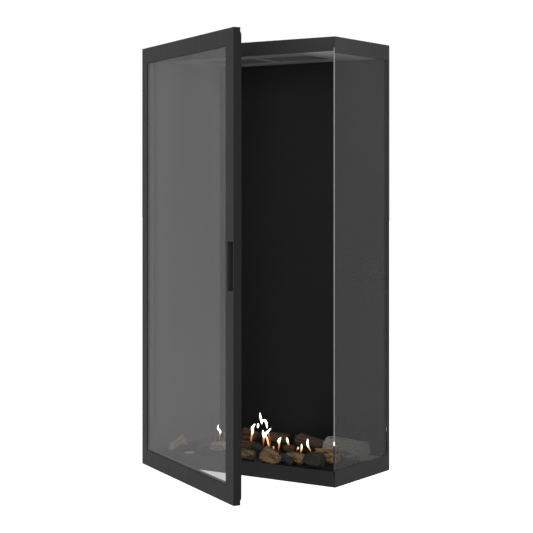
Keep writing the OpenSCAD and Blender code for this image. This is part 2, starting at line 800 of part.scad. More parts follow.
module hinge_stile() {
    tube_u = hinge_stile_w - rebate;
    color(anthracite) in_door() difference() {
        union() {
            difference() {
                span([0, 0, door_z0], [tube_u, door_t, door_z1]);
                span([tube_wall, skin_t, 0], [tube_u - tube_wall, door_t - tube_wall, body_h]);
            }
            span([0, 0, door_z0], [hinge_stile_w, skin_t, door_z1]);
            for (z = hinge_zs)
                span([tube_wall, skin_t, z - pin_l], [tube_u - tube_wall, door_t - tube_wall, z + pin_l]);
        }
        for (z = hinge_zs) {
            span([-eps, pin_front - arm_r - arm_gap, z - arm_h / 2 - arm_gap],
                [pin_side + arm_r + arm_gap, door_t + eps, z + arm_h / 2 + arm_gap]);
            translate([pin_side, pin_front, z - arm_h / 2 - bush_l - arm_gap])
                cylinder(h = arm_h + 2 * bush_l + 2 * arm_gap, r = bush_r);
            translate([pin_side, pin_front, z - pin_l / 2 - pin_end_room])
                cylinder(h = pin_l + 2 * pin_end_room, r = pin_r + pin_room);
        }
        at_bead_screws() cylinder(h = bead_screw_l, r = bead_screw_r, $fn = 24);
    }
}

module hinge_bushes() {
    color(brass) in_door() for (z = hinge_zs, side = [-1, 1])
        translate([pin_side, pin_front, z + side * (arm_h / 2 + arm_gap + bush_l / 2) - bush_l / 2]) difference() {
            cylinder(h = bush_l, r = bush_r);
            translate([0, 0, -eps]) cylinder(h = bush_l + 2 * eps, r = pin_r + pin_gap);
        }
}

module latch_stile() {
    tube_u = door_w - latch_stile_w + rebate;
    color(anthracite) in_door() difference() {
        union() {
            difference() {
                span([tube_u, 0, door_z0], [door_w, door_t, door_z1]);
                span([tube_u + tube_wall, skin_t, 0], [door_w - tube_wall, door_t - tube_wall, body_h]);
            }
            span([latch_u, 0, door_z0], [door_w, skin_t, door_z1]);
        }
        at_bead_screws() cylinder(h = bead_screw_l, r = bead_screw_r, $fn = 24);
        span([cup_u1 - grip_w, -eps, grip_z - grip_h / 2], [cup_u1, skin_t + eps, grip_z + grip_h / 2]);
    }
}

module grip_cup() {
    color(black) in_door() difference() {
        span([cup_u1 - grip_w, 0, grip_z - grip_h / 2], [cup_u1, door_t - tube_wall, grip_z + grip_h / 2]);
        span([cup_u1 - grip_w + cup_wall, -eps, grip_z - grip_h / 2 + cup_wall],
            [cup_u1 - cup_wall, door_t - tube_wall - cup_wall, grip_z + grip_h / 2 - cup_wall]);
    }
}

// A rail of the door: a tube between the stiles with a front skin that covers the glass edge
module rail(tube_z, skin_z) {
    u0 = hinge_stile_w - rebate;
    u1 = latch_u + rebate;
    tube_h = rail_h - rebate;
    color(anthracite) in_door() difference() {
        union() {
            span([u0, skin_t, tube_z], [u1, door_t, tube_z + tube_h]);
            span([hinge_stile_w, 0, skin_z], [latch_u, skin_t, skin_z + rail_h]);
        }
        span([u0 - eps, skin_t, tube_z + tube_wall], [u1 + eps, door_t - tube_wall, tube_z + tube_h - tube_wall]);
        at_bead_screws() cylinder(h = bead_screw_l, r = bead_screw_r, $fn = 24);
    }
}

module bottom_rail() {
    rail(door_z0, door_z0);
}

module top_rail() {
    rail(door_z1 - rail_h + rebate, door_z1 - rail_h);
}

module corner_plugs() {
    u0 = hinge_stile_w - rebate;
    u1 = latch_u + rebate;
    plug_h = rail_h - rebate - 2 * tube_wall;
    color(steel) in_door() for (z = [door_z0 + tube_wall, door_z1 - tube_wall - plug_h], u = [u0, u1 - plug_l])
        span([u, skin_t, z], [u + plug_l, door_t - tube_wall, z + plug_h]);
}

module door_glass() {
    color(glass_grey) in_door() span([glass_u0, skin_t, glass_w0], [glass_u1, skin_t + glass_t, glass_w1]);
}

// A flat band around a rectangle, w wide, drawn between two depths
module band(u0, u1, z0, z1, w, v0, v1) {
    difference() {
        span([u0, v0, z0], [u1, v1, z1]);
        span([u0 + w, v0 - eps, z0 + w], [u1 - w, v1 + eps, z1 - w]);
    }
}

module glass_tape() {
    color(rope) in_door() band(glass_u0, glass_u1, glass_w0, glass_w1, glass_lap, skin_t + glass_t, bead_v);
}

/* Glazing beads, screwed sideways into the frame's tubes */

function bead_stations(from, to) = let (n = ceil((to - from - 2 * bead_end) / bead_pitch))
    [for (i = [0 : n]) from + bead_end + (to - from - 2 * bead_end) * i / n];

// Each screw place lies on the bead's visible side, with +Z pointing into the frame
module at_bead_screws() {
    for (z = bead_stations(view_z0, view_z1)) {
        translate([hinge_stile_w, bead_v_mid, z]) rotate([0, -90, 0]) children();
        translate([latch_u, bead_v_mid, z]) rotate([0, 90, 0]) children();
    }
    for (u = bead_stations(hinge_stile_w, latch_u)) {
        translate([u, bead_v_mid, view_z0]) rotate([180, 0, 0]) children();
        translate([u, bead_v_mid, view_z1]) children();
    }
}

module bead_screw() {
    cylinder(h = bead_head_h, r1 = 2 * bead_screw_r, r2 = bead_screw_r, $fn = 24);
    cylinder(h = bead_screw_l, r = bead_screw_r, $fn = 24);
}

module bead_bar(low, high) {
    color(anthracite) in_door() difference() {
        span(low, high);
        at_bead_screws() bead_screw();
    }
}

module side_beads() {
    bead_bar([hinge_stile_w - rebate, bead_v, view_z0], [hinge_stile_w, door_t, view_z1]);
    bead_bar([latch_u, bead_v, view_z0], [latch_u + rebate, door_t, view_z1]);
}

module cross_beads() {
    bead_bar([hinge_stile_w - rebate, bead_v, view_z0 - rebate], [latch_u + rebate, door_t, view_z0]);
    bead_bar([hinge_stile_w - rebate, bead_v, view_z1], [latch_u + rebate, door_t, view_z1 + rebate]);
}

module bead_screws() {
    color(steel) in_door() at_bead_screws() bead_screw();
}

module door_seal() {
    color(rope) in_door()
        band(seal_side, door_w - 0.5, door_z0 + seal_end, door_z1 - seal_end, seal_w, door_t, door_t + door_gap - seal_gap);
}

module catch_magnets() {
    color(steel) in_door() for (z = [magnet_z, body_h - magnet_z])
        translate([magnet_u, door_t, z]) rotate([-90, 0, 0]) cylinder(h = door_gap - seal_gap, r = magnet_r);
}

base_pan();
floor_bearers();
hearth_floor();
log_shelf();
left_casing();
left_jamb();
left_liner();
panel_retainer();
left_insulation();
back_panel();
rear_insulation();
rear_stiffeners();
rear_casing();
fixing_nuts();
rear_post();
rear_trim();
side_glass();
lower_glass_channel();
upper_glass_channel();
side_glass_seals();
ceiling_plate();
flue_collector();
flue_socket();
air_ring();
top_plate();
front_valance();
side_valance();
burner_pan();
burner_deck();
ember_bed();
gas_inlet();
gas_pipe();
injector();
pilot_burner();
spark_electrode();
floor_cap();
front_logs();
middle_logs();
back_logs();
big_side_log();
charcoal_lumps();
lower_hinge_bracket();
upper_hinge_bracket();
hinge_pins();
casing_screws();
hinge_stile();
latch_stile();
top_rail();
bottom_rail();
corner_plugs();
hinge_bushes();
door_glass();
glass_tape();
side_beads();
cross_beads();
bead_screws();
grip_cup();
door_seal();
catch_magnets();
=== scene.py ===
"""Looks of a tall corner gas fireplace with a log fire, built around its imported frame.

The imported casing, door frame, fittings and gas parts keep their shape and get their finish here. The
glass, logs, charcoal, embers, flames, door seal and screws are new pieces that stand where the frame
has them. Lengths are in metres; the tables of glass, seal, screws, logs and flames are in millimetres.
"""

import json
import math

import bmesh
import bpy
import numpy as np
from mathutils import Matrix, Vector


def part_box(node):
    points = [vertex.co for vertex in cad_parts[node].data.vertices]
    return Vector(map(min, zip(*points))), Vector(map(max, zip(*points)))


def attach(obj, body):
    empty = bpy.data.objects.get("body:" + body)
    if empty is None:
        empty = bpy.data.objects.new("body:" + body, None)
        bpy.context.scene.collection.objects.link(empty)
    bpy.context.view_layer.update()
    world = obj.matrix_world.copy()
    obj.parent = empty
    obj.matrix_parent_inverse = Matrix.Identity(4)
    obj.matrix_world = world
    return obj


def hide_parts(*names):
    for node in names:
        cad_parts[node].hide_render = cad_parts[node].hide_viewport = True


MM = 0.001

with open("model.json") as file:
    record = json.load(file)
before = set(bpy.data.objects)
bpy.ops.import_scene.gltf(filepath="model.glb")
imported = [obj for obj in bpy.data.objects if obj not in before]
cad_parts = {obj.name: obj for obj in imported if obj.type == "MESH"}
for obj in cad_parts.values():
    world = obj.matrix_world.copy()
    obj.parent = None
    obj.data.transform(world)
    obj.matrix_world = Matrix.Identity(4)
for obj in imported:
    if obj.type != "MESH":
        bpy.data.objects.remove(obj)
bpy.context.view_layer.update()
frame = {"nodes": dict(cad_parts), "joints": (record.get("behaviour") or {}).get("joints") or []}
nodes = frame["nodes"]
hinge = frame["joints"][0]

# The photograph is a square; its horizon lies above its middle
PHOTO_PX = 533
HORIZON_PX = 191
FOCAL_PX = 1445.4
SENSOR_MM = 36
CAMERA_AT = (2.31377, -3.43595, 0.7887)
CAMERA_YAW_DEG = 33.95

# The hinge pin's place from the door's hinge edge and from its front face
PIN_SIDE = 7 * MM
PIN_FRONT = 14 * MM


# ---- meshes

def grid_faces(rows, cols, around=True, ring=False):
    """Quads of a grid of rows by cols points; around joins the last column to the first, ring the rows."""
    i = np.arange(rows if ring else rows - 1)[:, None]
    j = np.arange(cols if around else cols - 1)[None, :]
    k, m = (j + 1) % cols, (i + 1) % rows
    quads = np.stack([i * cols + j, i * cols + k, m * cols + k, m * cols + j], -1)
    return quads.reshape(-1, 4).tolist()


def closed_faces(rows, cols):
    """Faces of a closed tube of rows rings, whose start and end poles are the two points after the grid."""
    start, end = rows * cols, rows * cols + 1
    last = (rows - 1) * cols
    faces = grid_faces(rows, cols)
    faces += [(start, (j + 1) % cols, j) for j in range(cols)]
    faces += [(end, last + j, last + (j + 1) % cols) for j in range(cols)]
    return faces


def placed(name, data):
    """A new object in the scene that holds that mesh, lamp or camera."""
    thing = bpy.data.objects.new(name, data)
    bpy.context.scene.collection.objects.link(thing)
    return thing


def make_piece(name, points, faces, body, slot, finishes, replaced=(), finish_of_face=None, values=(),
               smooth=True):
    """A piece of the object from its points and faces, in place, with its finish and its body.

    values holds point attributes by name. The faces of the closed mesh are turned outwards."""
    mesh = bpy.data.meshes.new(name)
    mesh.from_pydata(np.asarray(points, float).reshape(-1, 3).tolist(), [], faces)
    for finish in finishes:
        mesh.materials.append(finish)
    mesh.polygons.foreach_set("use_smooth", np.full(len(faces), smooth))
    if finish_of_face is not None:
        mesh.polygons.foreach_set("material_index", np.asarray(finish_of_face, np.int32))
    for key, value in dict(values).items():
        kind, field = ("FLOAT_VECTOR", "vector") if value.ndim == 2 else ("FLOAT", "value")
        mesh.attributes.new(key, kind, "POINT").data.foreach_set(field, value.astype(np.float32).ravel())
    mesh.update()
    solid = bmesh.new()
    solid.from_mesh(mesh)
    bmesh.ops.recalc_face_normals(solid, faces=solid.faces[:])
    solid.to_mesh(mesh)
    solid.free()
    piece = placed(name, mesh)
    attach(piece, body)
    if replaced:
        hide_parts(*replaced)


def xyz(x, y, z):
    """Points from arrays or numbers that are spread to one shape."""
    return np.stack(np.broadcast_arrays(x, y, z), -1)


def angles(count):
    """Even angles once around, as one row."""
    return np.linspace(0, 2 * np.pi, count, endpoint=False)[None, :]


def capped(rings):
    """Points and faces of a closed tube of rings, with a pole in the middle of its first and last ring."""
    poles = np.stack([rings[0].mean(0), rings[-1].mean(0)])
    return np.concatenate([rings.reshape(-1, 3), poles]), closed_faces(*rings.shape[:2])


def joined(parts):
    """Several (points, faces, values) as one."""
    points, faces, values, start = [], [], {}, 0
    for part_points, part_faces, part_values in parts:
        points.append(part_points)
        faces += [tuple(v + start for v in face) for face in part_faces]
        for key, value in part_values.items():
            values.setdefault(key, []).append(value)
        start += len(part_points)
    return np.concatenate(points), faces, {key: np.concatenate(value) for key, value in values.items()}


def smooth_line(rows, count):
    """Rows of values resampled evenly along their first two columns; neighbours averaged, ends kept."""
    rows = np.asarray(rows, float)
    along = np.concatenate([[0], np.cumsum(np.hypot(*np.diff(rows[:, :2], axis=0).T))])
    even = np.linspace(0, along[-1], count)
    line = np.stack([np.interp(even, along, column) for column in rows.T], -1)
    for _ in range(LINE_ROUNDS):
        line[1:-1] = (line[:-2] + 2 * line[1:-1] + line[2:]) / 4
    return line


def waves(points, length, seed, count=20):
    """Smooth noise of about -1 to 1: a sum of plane waves of seeded directions, near that wavelength."""
    rng = np.random.default_rng(seed)
    directions = rng.normal(size=(count, 3))
    directions /= np.linalg.norm(directions, axis=1)[:, None]
    pitch = 2 * np.pi / (length * rng.uniform(0.7, 1.5, count))
    phase = rng.uniform(0, 2 * np.pi, count)
    return np.sin(points @ (directions * pitch[:, None]).T + phase).sum(-1) * math.sqrt(2 / count) * 0.6


def in_door(u, v, z):
    """World points of door coordinates: u from the hinge edge, v back from the front face, z up."""
    angle = math.radians(hinge["range_deg"][0])
    pin = hinge["pos_m"]
    du, dv = np.asarray(u) - PIN_SIDE, np.asarray(v) - PIN_FRONT
    x = pin[0] + du * math.cos(angle) - dv * math.sin(angle)
    y = pin[1] + du * math.sin(angle) + dv * math.cos(angle)
    return xyz(x, y, z)


# ---- finishes

class Nodes:
    """A node tree filled one node at a time; an input is a plain value or another node's output."""

    def __init__(self, tree):
        self.tree = tree

    def feed(self, socket, value):
        """Gives a socket its value, or links an output to it; a colour of three numbers gets its alpha."""
        if isinstance(value, bpy.types.NodeSocket):
            self.tree.links.new(value, socket)
        else:
            socket.default_value = (*value, 1) if socket.type == "RGBA" and len(value) == 3 else value

    def add(self, kind, inputs=None, **settings):
        """A shader node with its settings and inputs."""
        node = self.tree.nodes.new("ShaderNode" + kind)
        for key, value in settings.items():
            setattr(node, key, value)
        for key, value in (inputs or {}).items():
            self.feed(node.inputs[key], value)
        return node

    def math(self, how, *numbers):
        """Numbers put together in the way that is named."""
        node = self.add("Math", operation=how)
        for socket, value in zip(node.inputs, numbers):
            self.feed(socket, value)
        return node.outputs[0]

    def times(self, a, b, plus=0.0):
        """a times b, plus a third number."""
        return self.math("MULTIPLY_ADD", a, b, plus)


class Finish(Nodes):
    """A material around one shader; an underscore stands for the space in a socket's name."""

    def __init__(self, name, **inputs):
        self.material = bpy.data.materials.new(name)
        self.material.use_nodes = True
        super().__init__(self.material.node_tree)
        self.tree.nodes.clear()
        self.shader = self.add("BsdfPrincipled")
        self.add("OutputMaterial", inputs={"Surface": self.shader.outputs[0]})
        self.set(**inputs)

    def set(self, **inputs):
        """Feeds the shader's own sockets and hands back the material."""
        for key, value in inputs.items():
            self.feed(self.shader.inputs[key.replace("_", " ")], value)
        return self.material

    def place(self, scale=(1, 1, 1), attribute=None, turn=(0, 0, 0)):
        """Where a pattern is read: object coordinates or a point attribute, stretched by scale."""
        if attribute:
            at = self.add("Attribute", attribute_name=attribute).outputs["Vector"]
        else:
            at = self.add("TexCoord").outputs["Object"]
        return self.add("Mapping", inputs={"Vector": at, "Scale": scale, "Rotation": turn}).outputs[0]

    def value(self, attribute):
        """A point attribute that is one number."""
        return self.add("Attribute", attribute_name=attribute).outputs["Fac"]

    def along(self, axis):
        """The place along X, Y or Z of the object's coordinates."""
        at = self.add("TexCoord").outputs["Object"]
        return self.add("SeparateXYZ", inputs={"Vector": at}).outputs[axis]

    def share(self, value, begin, end):
        """From 0 where value is at begin to 1 where it is at end."""
        return self.add("MapRange", inputs={"Value": value, "From Min": begin, "From Max": end}).outputs[0]

    def noise(self, at, scale, detail, rough, warp=0.0):
        """Cloudy noise from 0 to 1."""
        inputs = {"Vector": at, "Scale": scale, "Detail": detail, "Roughness": rough, "Distortion": warp}
        return self.add("TexNoise", inputs=inputs).outputs["Fac"]

    def grain(self, along, across, detail, rough, warp=0.0):
        """Cloudy noise in a log's own grain, at one scale along it and another across."""
        return self.noise(self.place((along, across, across), "grain"), 1.0, detail, rough, warp)

    def cells(self, at, scale, feature="F1"):
        """Distance to the middle of the nearest cell, or to its edge."""
        node = self.add("TexVoronoi", inputs={"Vector": at, "Scale": scale}, feature=feature)
        return node.outputs["Distance"]

    def ramp(self, fac, *stops):
        """Colour or grey for each place along fac; stops are (place, colour or grey)."""
        node = self.add("ValToRGB", inputs={"Fac": fac})
        elements = node.color_ramp.elements
        while len(elements) < len(stops):
            elements.new(0.5)
        for element, (place, colour) in zip(elements, stops):
            element.position = place
            element.color = (*colour, 1) if isinstance(colour, tuple) else (colour, colour, colour, 1)
        return node.outputs["Color"]

    def mask(self, fac, begin, end, most=1.0):
        """Grey from 0 where fac is at begin to most where it is at end."""
        return self.ramp(fac, (begin, 0.0), (end, most))

    def mix(self, fac, a, b, how="MIX"):
        """Colour from a to b by fac, or blended in the way that is named."""
        node = self.add("Mix", data_type="RGBA", blend_type=how)
        for index, value in ((0, fac), (6, a), (7, b)):
            self.feed(node.inputs[index], value)
        return node.outputs[2]

    def bump(self, height, depth, under=None):
        """Relief of that depth in mm where height runs from 0 to 1, over the relief under it."""
        node = self.add("Bump", inputs={"Height": height, "Distance": depth * MM, "Strength": 1.0})
        if under is not None:
            self.feed(node.inputs["Normal"], under)
        return node.outputs[0]


def toned(colour, by):
    """The colour made lighter or darker."""
    return tuple(by * c for c in colour)


def scorched(finish, patch, begin, end):
    """How burnt wood is, from 0 to 1: the mesh's burn attribute with a patchy noise on top."""
    burn = finish.times(patch, 0.9, finish.math("ADD", finish.value("burn"), -0.45))
    return finish.mask(burn, begin, end)


def paint(name, dark, light, rough, index, grain_mm=0.9, grain_depth=0.03, mottle=5.0, painted_shading=None):
    """Sprayed or powder-coated sheet: slow mottling, fine grain in colour and relief, uneven sheen.

    The last argument is painted light and shade: an axis, two places along it and the tone that the coat is
    painted to at the second, lighter where light falls on the part and darker where shade falls."""
    finish = Finish(name, IOR=index)
    at = finish.place()
    cloud = finish.noise(at, mottle, 4, 0.6)
    speck = finish.noise(at, 1 / (grain_mm * MM), 2, 0.5)
    colour = finish.ramp(cloud, (0.3, dark), (0.7, light))
    colour = finish.mix(finish.mask(speck, 0.35, 0.75, 0.35), colour, toned(light, 1.4))
    # painted light and shade: the coat turns towards a lighter or darker tone along one axis
    if painted_shading:
        axis, begin, end, tone = painted_shading
        painted_tone = finish.ramp(cloud, (0.3, 0.94 * tone), (0.7, 1.06 * tone))
        colour = finish.mix(finish.share(finish.along(axis), begin, end), colour, painted_tone)
    scuff = finish.noise(finish.place((3, 3, 0.4)), 30, 5, 0.65)
    return finish.set(Base_Color=colour, Roughness=finish.times(scuff, 0.16, rough - 0.08),
                      Normal=finish.bump(speck, grain_depth))


# Where the painted light in the hearth's right back corner begins and where it is strongest, along X and
# along Y
LIT_CORNER_ACROSS, LIT_CORNER_BACK = (0.215, 0.3), (-0.01, 0.09)


def floor_with_lit_corner(name, dark, light, ash):
    """Black floor coat, with a pale patch of painted light in the corner at the right and back, where light
    falls through the side glass.
    """
    finish = Finish(name, IOR=1.22)
    at = finish.place()
    coat = finish.ramp(finish.noise(at, 3, 4, 0.6), (0.3, dark), (0.7, light))
    # painted light: the last colour, given as ash, is the pale patch standing for light through the side
    # glass, mixed in by this corner mask
    corner = finish.times(finish.share(finish.along("X"), *LIT_CORNER_ACROSS),
                          finish.share(finish.along("Y"), *LIT_CORNER_BACK))
    spread = finish.times(finish.noise(at, 45, 5, 0.65), 0.5, corner)
    painted_light_patch = finish.mask(spread, 0.55, 0.95)
    grit = finish.noise(at, 2000, 2, 0.5)
    return finish.set(Base_Color=finish.mix(painted_light_patch, coat, ash), Roughness=finish.times(grit, 0.16, 0.42),
                      Normal=finish.bump(grit, 0.03))


def metal(name, colour, tint, rough):
    """Bare brushed metal: fine streaks in colour, sheen and relief, slow tarnish."""
    finish = Finish(name, Metallic=1.0)
    streak = finish.noise(finish.place((4, 4, 900)), 1.0, 3, 0.6)
    tarnish = finish.noise(finish.place(), 38, 5, 0.65)
    base = finish.mix(finish.mask(tarnish, 0.42, 0.78, 0.8), colour, tint)
    base = finish.mix(0.25, base, finish.ramp(streak, (0.3, 0.25), (0.7, 1.0)), "MULTIPLY")
    return finish.set(Base_Color=base, Roughness=finish.times(streak, 0.25, rough - 0.12),
                      Normal=finish.bump(streak, 0.02))


def fibre(name, dark, light, pitch):
    """Pressed or knitted mineral fibre: crossing strands in colour and relief, no gloss."""
    finish = Finish(name, Specular_IOR_Level=0.15, Roughness=0.95)
    one = finish.noise(finish.place((1, 6, 1), turn=(0.5, 0.3, 0.2)), 1 / pitch, 4, 0.7, 0.4)
    two = finish.noise(finish.place((6, 1, 1), turn=(-0.4, 0.6, 0.9)), 1 / pitch, 4, 0.7, 0.4)
    strands = finish.math("MAXIMUM", one, two)
    return finish.set(Base_Color=finish.ramp(strands, (0.45, dark), (0.72, light)),
                      Normal=finish.bump(strands, 0.25))


def rope(name, dark, light):
    """Knitted glass rope: the strand relief is in the mesh; its weave attribute carries the single yarns."""
    finish = Finish(name, Specular_IOR_Level=0.2, Roughness=0.9)
    yarn = finish.noise(finish.place((1, 3, 1), "weave", (0, 0, 0.7)), 180, 3, 0.6)
    fuzz = finish.noise(finish.place(), 1400, 3, 0.6)
    colour = finish.mix(finish.mask(finish.value("strand"), 0.1, 0.8), dark, light)
    colour = finish.mix(0.5, colour, finish.ramp(yarn, (0.3, 0.45), (0.7, 1.0)), "MULTIPLY")
    return finish.set(Base_Color=colour, Normal=finish.bump(fuzz, 0.12))


# Heights between which the glass clouds, and those where its free edge's soot and its painted glint end
CLOUDING = (0.7, 0.05)
SOOT_END, PAINTED_GLINT_END = (0.1095, 0.113), (0.124, 0.118)
SOOT = (0.008, 0.008, 0.008)


def pane_glass(name, colour, cover, index, rough, clouded):
    """Ceramic glass: a thin grey body that lets most light through, with faint wiping marks in its gloss,
    clouded towards its foot."""
    finish = Finish(name, Alpha=cover, IOR=index)
    film = finish.noise(finish.place((1, 1, 0.35)), 7, 5, 0.6)
    body = finish.ramp(film, (0.3, colour), (0.7, toned(colour, 1.25)))
    low = finish.share(finish.along("Z"), *CLOUDING)
    return finish.set(Base_Color=finish.mix(low, body, toned(colour, clouded * 1.12)),
                      Roughness=finish.times(film, 0.5 * rough, 0.5 * rough))


def ground_edge(name, colour, soot_and_painted_glint):
    """The glass plate's ground edge: satin, milky, with fine grinding lines along it. The fixed pane's is
    dark with soot beside the fire, and just above that a painted glint glows white, standing for flame light
    caught in the edge."""
    finish = Finish(name, Roughness=0.45, Specular_IOR_Level=0.5)
    lines = finish.noise(finish.place((40, 40, 1)), 60, 3, 0.6)
    edge = finish.ramp(lines, (0.3, toned(colour, 0.8)), (0.7, colour))
    finish.set(Base_Color=edge, Normal=finish.bump(lines, 0.03))
    if soot_and_painted_glint:
        height = finish.along("Z")
        clean = finish.share(height, *SOOT_END)
        # painted glint: a white glow as emission just above the soot
        painted_glint = finish.times(clean, finish.share(height, *PAINTED_GLINT_END))
        finish.set(Base_Color=finish.mix(clean, SOOT, edge), Emission_Color=(1.0, 0.97, 0.92),
                   Emission_Strength=finish.times(painted_glint, 1.6))
    return finish.material


def split_wood(name, pale, mid, deep, red=0.0):
    """Split face of a log: streaks along the grain, darker rings, scorched where the mesh says so."""
    finish = Finish(name, Specular_IOR_Level=0.2, Roughness=0.88)
    fine = finish.grain(18, 420, 4, 0.6, 0.3)
    broad = finish.grain(12, 135, 3, 0.55, 0.5)
    patch = finish.grain(30, 45, 5, 0.65)
    colour = finish.ramp(broad, (0.38, deep), (0.48, mid), (0.62, pale))
    streaks = finish.ramp(fine, (0.36, (0.35, 0.3, 0.27)), (0.6, (1.0, 1.0, 1.0)))
    colour = finish.mix(0.55, colour, streaks, "MULTIPLY")
    if red:
        colour = finish.mix(finish.mask(patch, 0.45, 0.65, red), colour, (0.12, 0.045, 0.025))
    colour = finish.mix(scorched(finish, patch, 0.35, 0.62), colour, (0.012, 0.011, 0.011))
    relief = finish.bump(broad, 1.1)
    return finish.set(Base_Color=colour, Normal=finish.bump(fine, 0.45, relief))


def bark(name, ridge, furrow, lichen, glow=0.0):
    """Bark: dry ridges and dark furrows from the mesh, flecks of lichen or ash, glow in some furrows."""
    finish = Finish(name, Specular_IOR_Level=0.15, Roughness=0.93)
    grit = finish.grain(60, 160, 5, 0.65)
    patch = finish.grain(22, 30, 4, 0.6)
    height = finish.value("relief")
    colour = finish.mix(finish.mask(height, 0.25, 0.75), furrow, ridge)
    colour = finish.mix(finish.mask(grit, 0.4, 0.7, 0.7), colour, lichen)
    colour = finish.mix(scorched(finish, patch, 0.4, 0.66), colour, (0.014, 0.013, 0.013))
    finish.set(Base_Color=colour, Normal=finish.bump(grit, 0.8))
    if glow:
        spots = finish.grain(90, 120, 2, 0.5)
        hot = finish.times(finish.mask(spots, 0.6, 0.72), finish.ramp(height, (0.2, 1.0), (0.5, 0.0)))
        finish.set(Emission_Color=(1.0, 0.24, 0.04), Emission_Strength=finish.times(hot, glow))
    return finish.material


def charred(name, black, grey, dust, ash):
    """Charcoal: cracked black blocks, a bluish sheen on the faces and pale ash on what looks up."""
    finish = Finish(name, Specular_IOR_Level=0.35)
    at = finish.place((150, 150, 150), "grain")
    grit = finish.noise(at, 1.0, 5, 0.65)
    patch = finish.noise(at, 0.28, 4, 0.6)
    crack = finish.cells(at, 0.75, "DISTANCE_TO_EDGE")
    colour = finish.mix(finish.mask(finish.value("relief"), 0.2, 0.7), black, grey)
    normal = finish.add("NewGeometry").outputs["Normal"]
    facing = finish.add("SeparateXYZ", inputs={"Vector": normal}).outputs["Z"]
    settled = finish.times(finish.mask(facing, 0.2, 0.9), finish.mask(patch, 0.42, 0.62, ash))
    relief = finish.bump(finish.mask(crack, 0.0, 0.12), 0.9)
    return finish.set(Base_Color=finish.mix(settled, colour, dust), Roughness=finish.times(grit, 0.3, 0.6),
                      Normal=finish.bump(grit, 0.6, relief))


def ember_grit(name, glow):
    """Broken embers: dark grains with grey ash, and an orange glow in their gaps."""
    finish = Finish(name, Roughness=0.95, Specular_IOR_Level=0.1)
    at = finish.place()
    grain = finish.cells(at, 260)
    patch = finish.noise(at, 26, 3, 0.6)
    colour = finish.ramp(grain, (0.1, (0.035, 0.032, 0.03)), (0.6, (0.012, 0.011, 0.011)))
    ash = finish.mask(finish.noise(at, 120, 4, 0.6), 0.5, 0.75, 0.5)
    hot = finish.times(finish.mask(patch, 0.6, 0.7), finish.mask(grain, 0.35, 0.7))
    return finish.set(Base_Color=finish.mix(ash, colour, (0.1, 0.097, 0.09)), Normal=finish.bump(grain, -1.5),
                      Emission_Color=(1.0, 0.22, 0.03), Emission_Strength=finish.times(hot, glow))


def flame_light(name, strength):
    """A gas flame: dull red and thin at its root, orange to yellow above, white in its body."""
    finish = Finish(name, Base_Color=(0, 0, 0), Specular_IOR_Level=0.0, Roughness=1.0)
    lick = finish.noise(finish.place((120, 120, 60)), 1.0, 2, 0.5)
    heat = finish.times(lick, 0.16, finish.math("ADD", finish.value("warmth"), -0.08))
    colour = finish.ramp(heat, (0.0, (1.0, 0.12, 0.04)), (0.25, (1.0, 0.34, 0.14)), (0.5, (1.0, 0.5, 0.15)),
                         (0.7, (1.0, 0.75, 0.35)), (0.85, (1.0, 0.96, 0.88)))
    body = finish.ramp(heat, (0.0, 0.07), (0.25, 0.12), (0.5, 0.28), (0.7, 0.5), (0.9, 1.0))
    return finish.set(Emission_Color=colour, Emission_Strength=finish.times(body, strength),
                      Alpha=finish.ramp(heat, (0.0, 0.45), (0.3, 0.8), (0.5, 1.0)))


def dress(names, finish):
    """Gives kept nodes of the frame their finish."""
    for name in names.split():
        slots = nodes[name].data.materials
        slots.clear()
        slots.append(finish)


dress("left_casing rear_casing rear_trim top_plate",
      paint("casing_coat", (0.016, 0.016, 0.0162), (0.0195, 0.0195, 0.0198), 0.5, 1.2))
# painted light: the base's coat turns lighter towards its left end, where the door shades it
dress("base_pan", paint("base_lit_coat", (0.016, 0.016, 0.0162), (0.0195, 0.0195, 0.0198), 0.5, 1.2,
                        painted_shading=("X", 0.26, 0.05, 0.0265)))
# painted light and shade: a lighter copy of the casing coat for the lit valance, painted darker towards its
# left end in the door's shadow
dress("front_valance", paint("front_valance_lit_coat", (0.026, 0.026, 0.0262), (0.03, 0.03, 0.0302), 0.5, 1.2,
                             painted_shading=("X", 0.27, 0.05, 0.0145)))
# painted light: a lighter copy of the casing coat for the lit valance, lighter still towards its front corner
dress("side_valance", paint("side_valance_lit_coat", (0.024, 0.024, 0.0242), (0.029, 0.029, 0.0293), 0.5, 1.2,
                            painted_shading=("Y", 0.08, -0.147, 0.037)))
dress("hinge_stile latch_stile top_rail bottom_rail",
      paint("door_frame_coat", (0.0048, 0.0048, 0.0049), (0.006, 0.006, 0.0061), 0.5, 1.234))
dress("side_beads cross_beads", paint("bead_coat", (0.115, 0.115, 0.116), (0.13, 0.13, 0.131), 0.5, 1.3))
dress("floor_bearers log_shelf back_panel rear_post lower_glass_channel upper_glass_channel",
      paint("firebox_black", (0.0108, 0.0108, 0.0108), (0.0122, 0.0122, 0.0122), 0.45, 1.22, 0.5, 0.03, 3.0))
# painted light: the last colour is the pale patch in the hearth's right back corner
dress("hearth_floor", floor_with_lit_corner("floor_coat", 0.0098, 0.0112, (0.45, 0.45, 0.44)))
dress("floor_cap", paint("cap_coat", (0.52, 0.52, 0.52), (0.6, 0.6, 0.6), 0.45, 1.4, 0.6, 0.02, 30.0))
dress("left_jamb left_liner panel_retainer flue_collector",
      paint("liner_coat", (0.13, 0.13, 0.131), (0.145, 0.145, 0.146), 0.55, 1.3, 0.7, 0.03, 4.0))
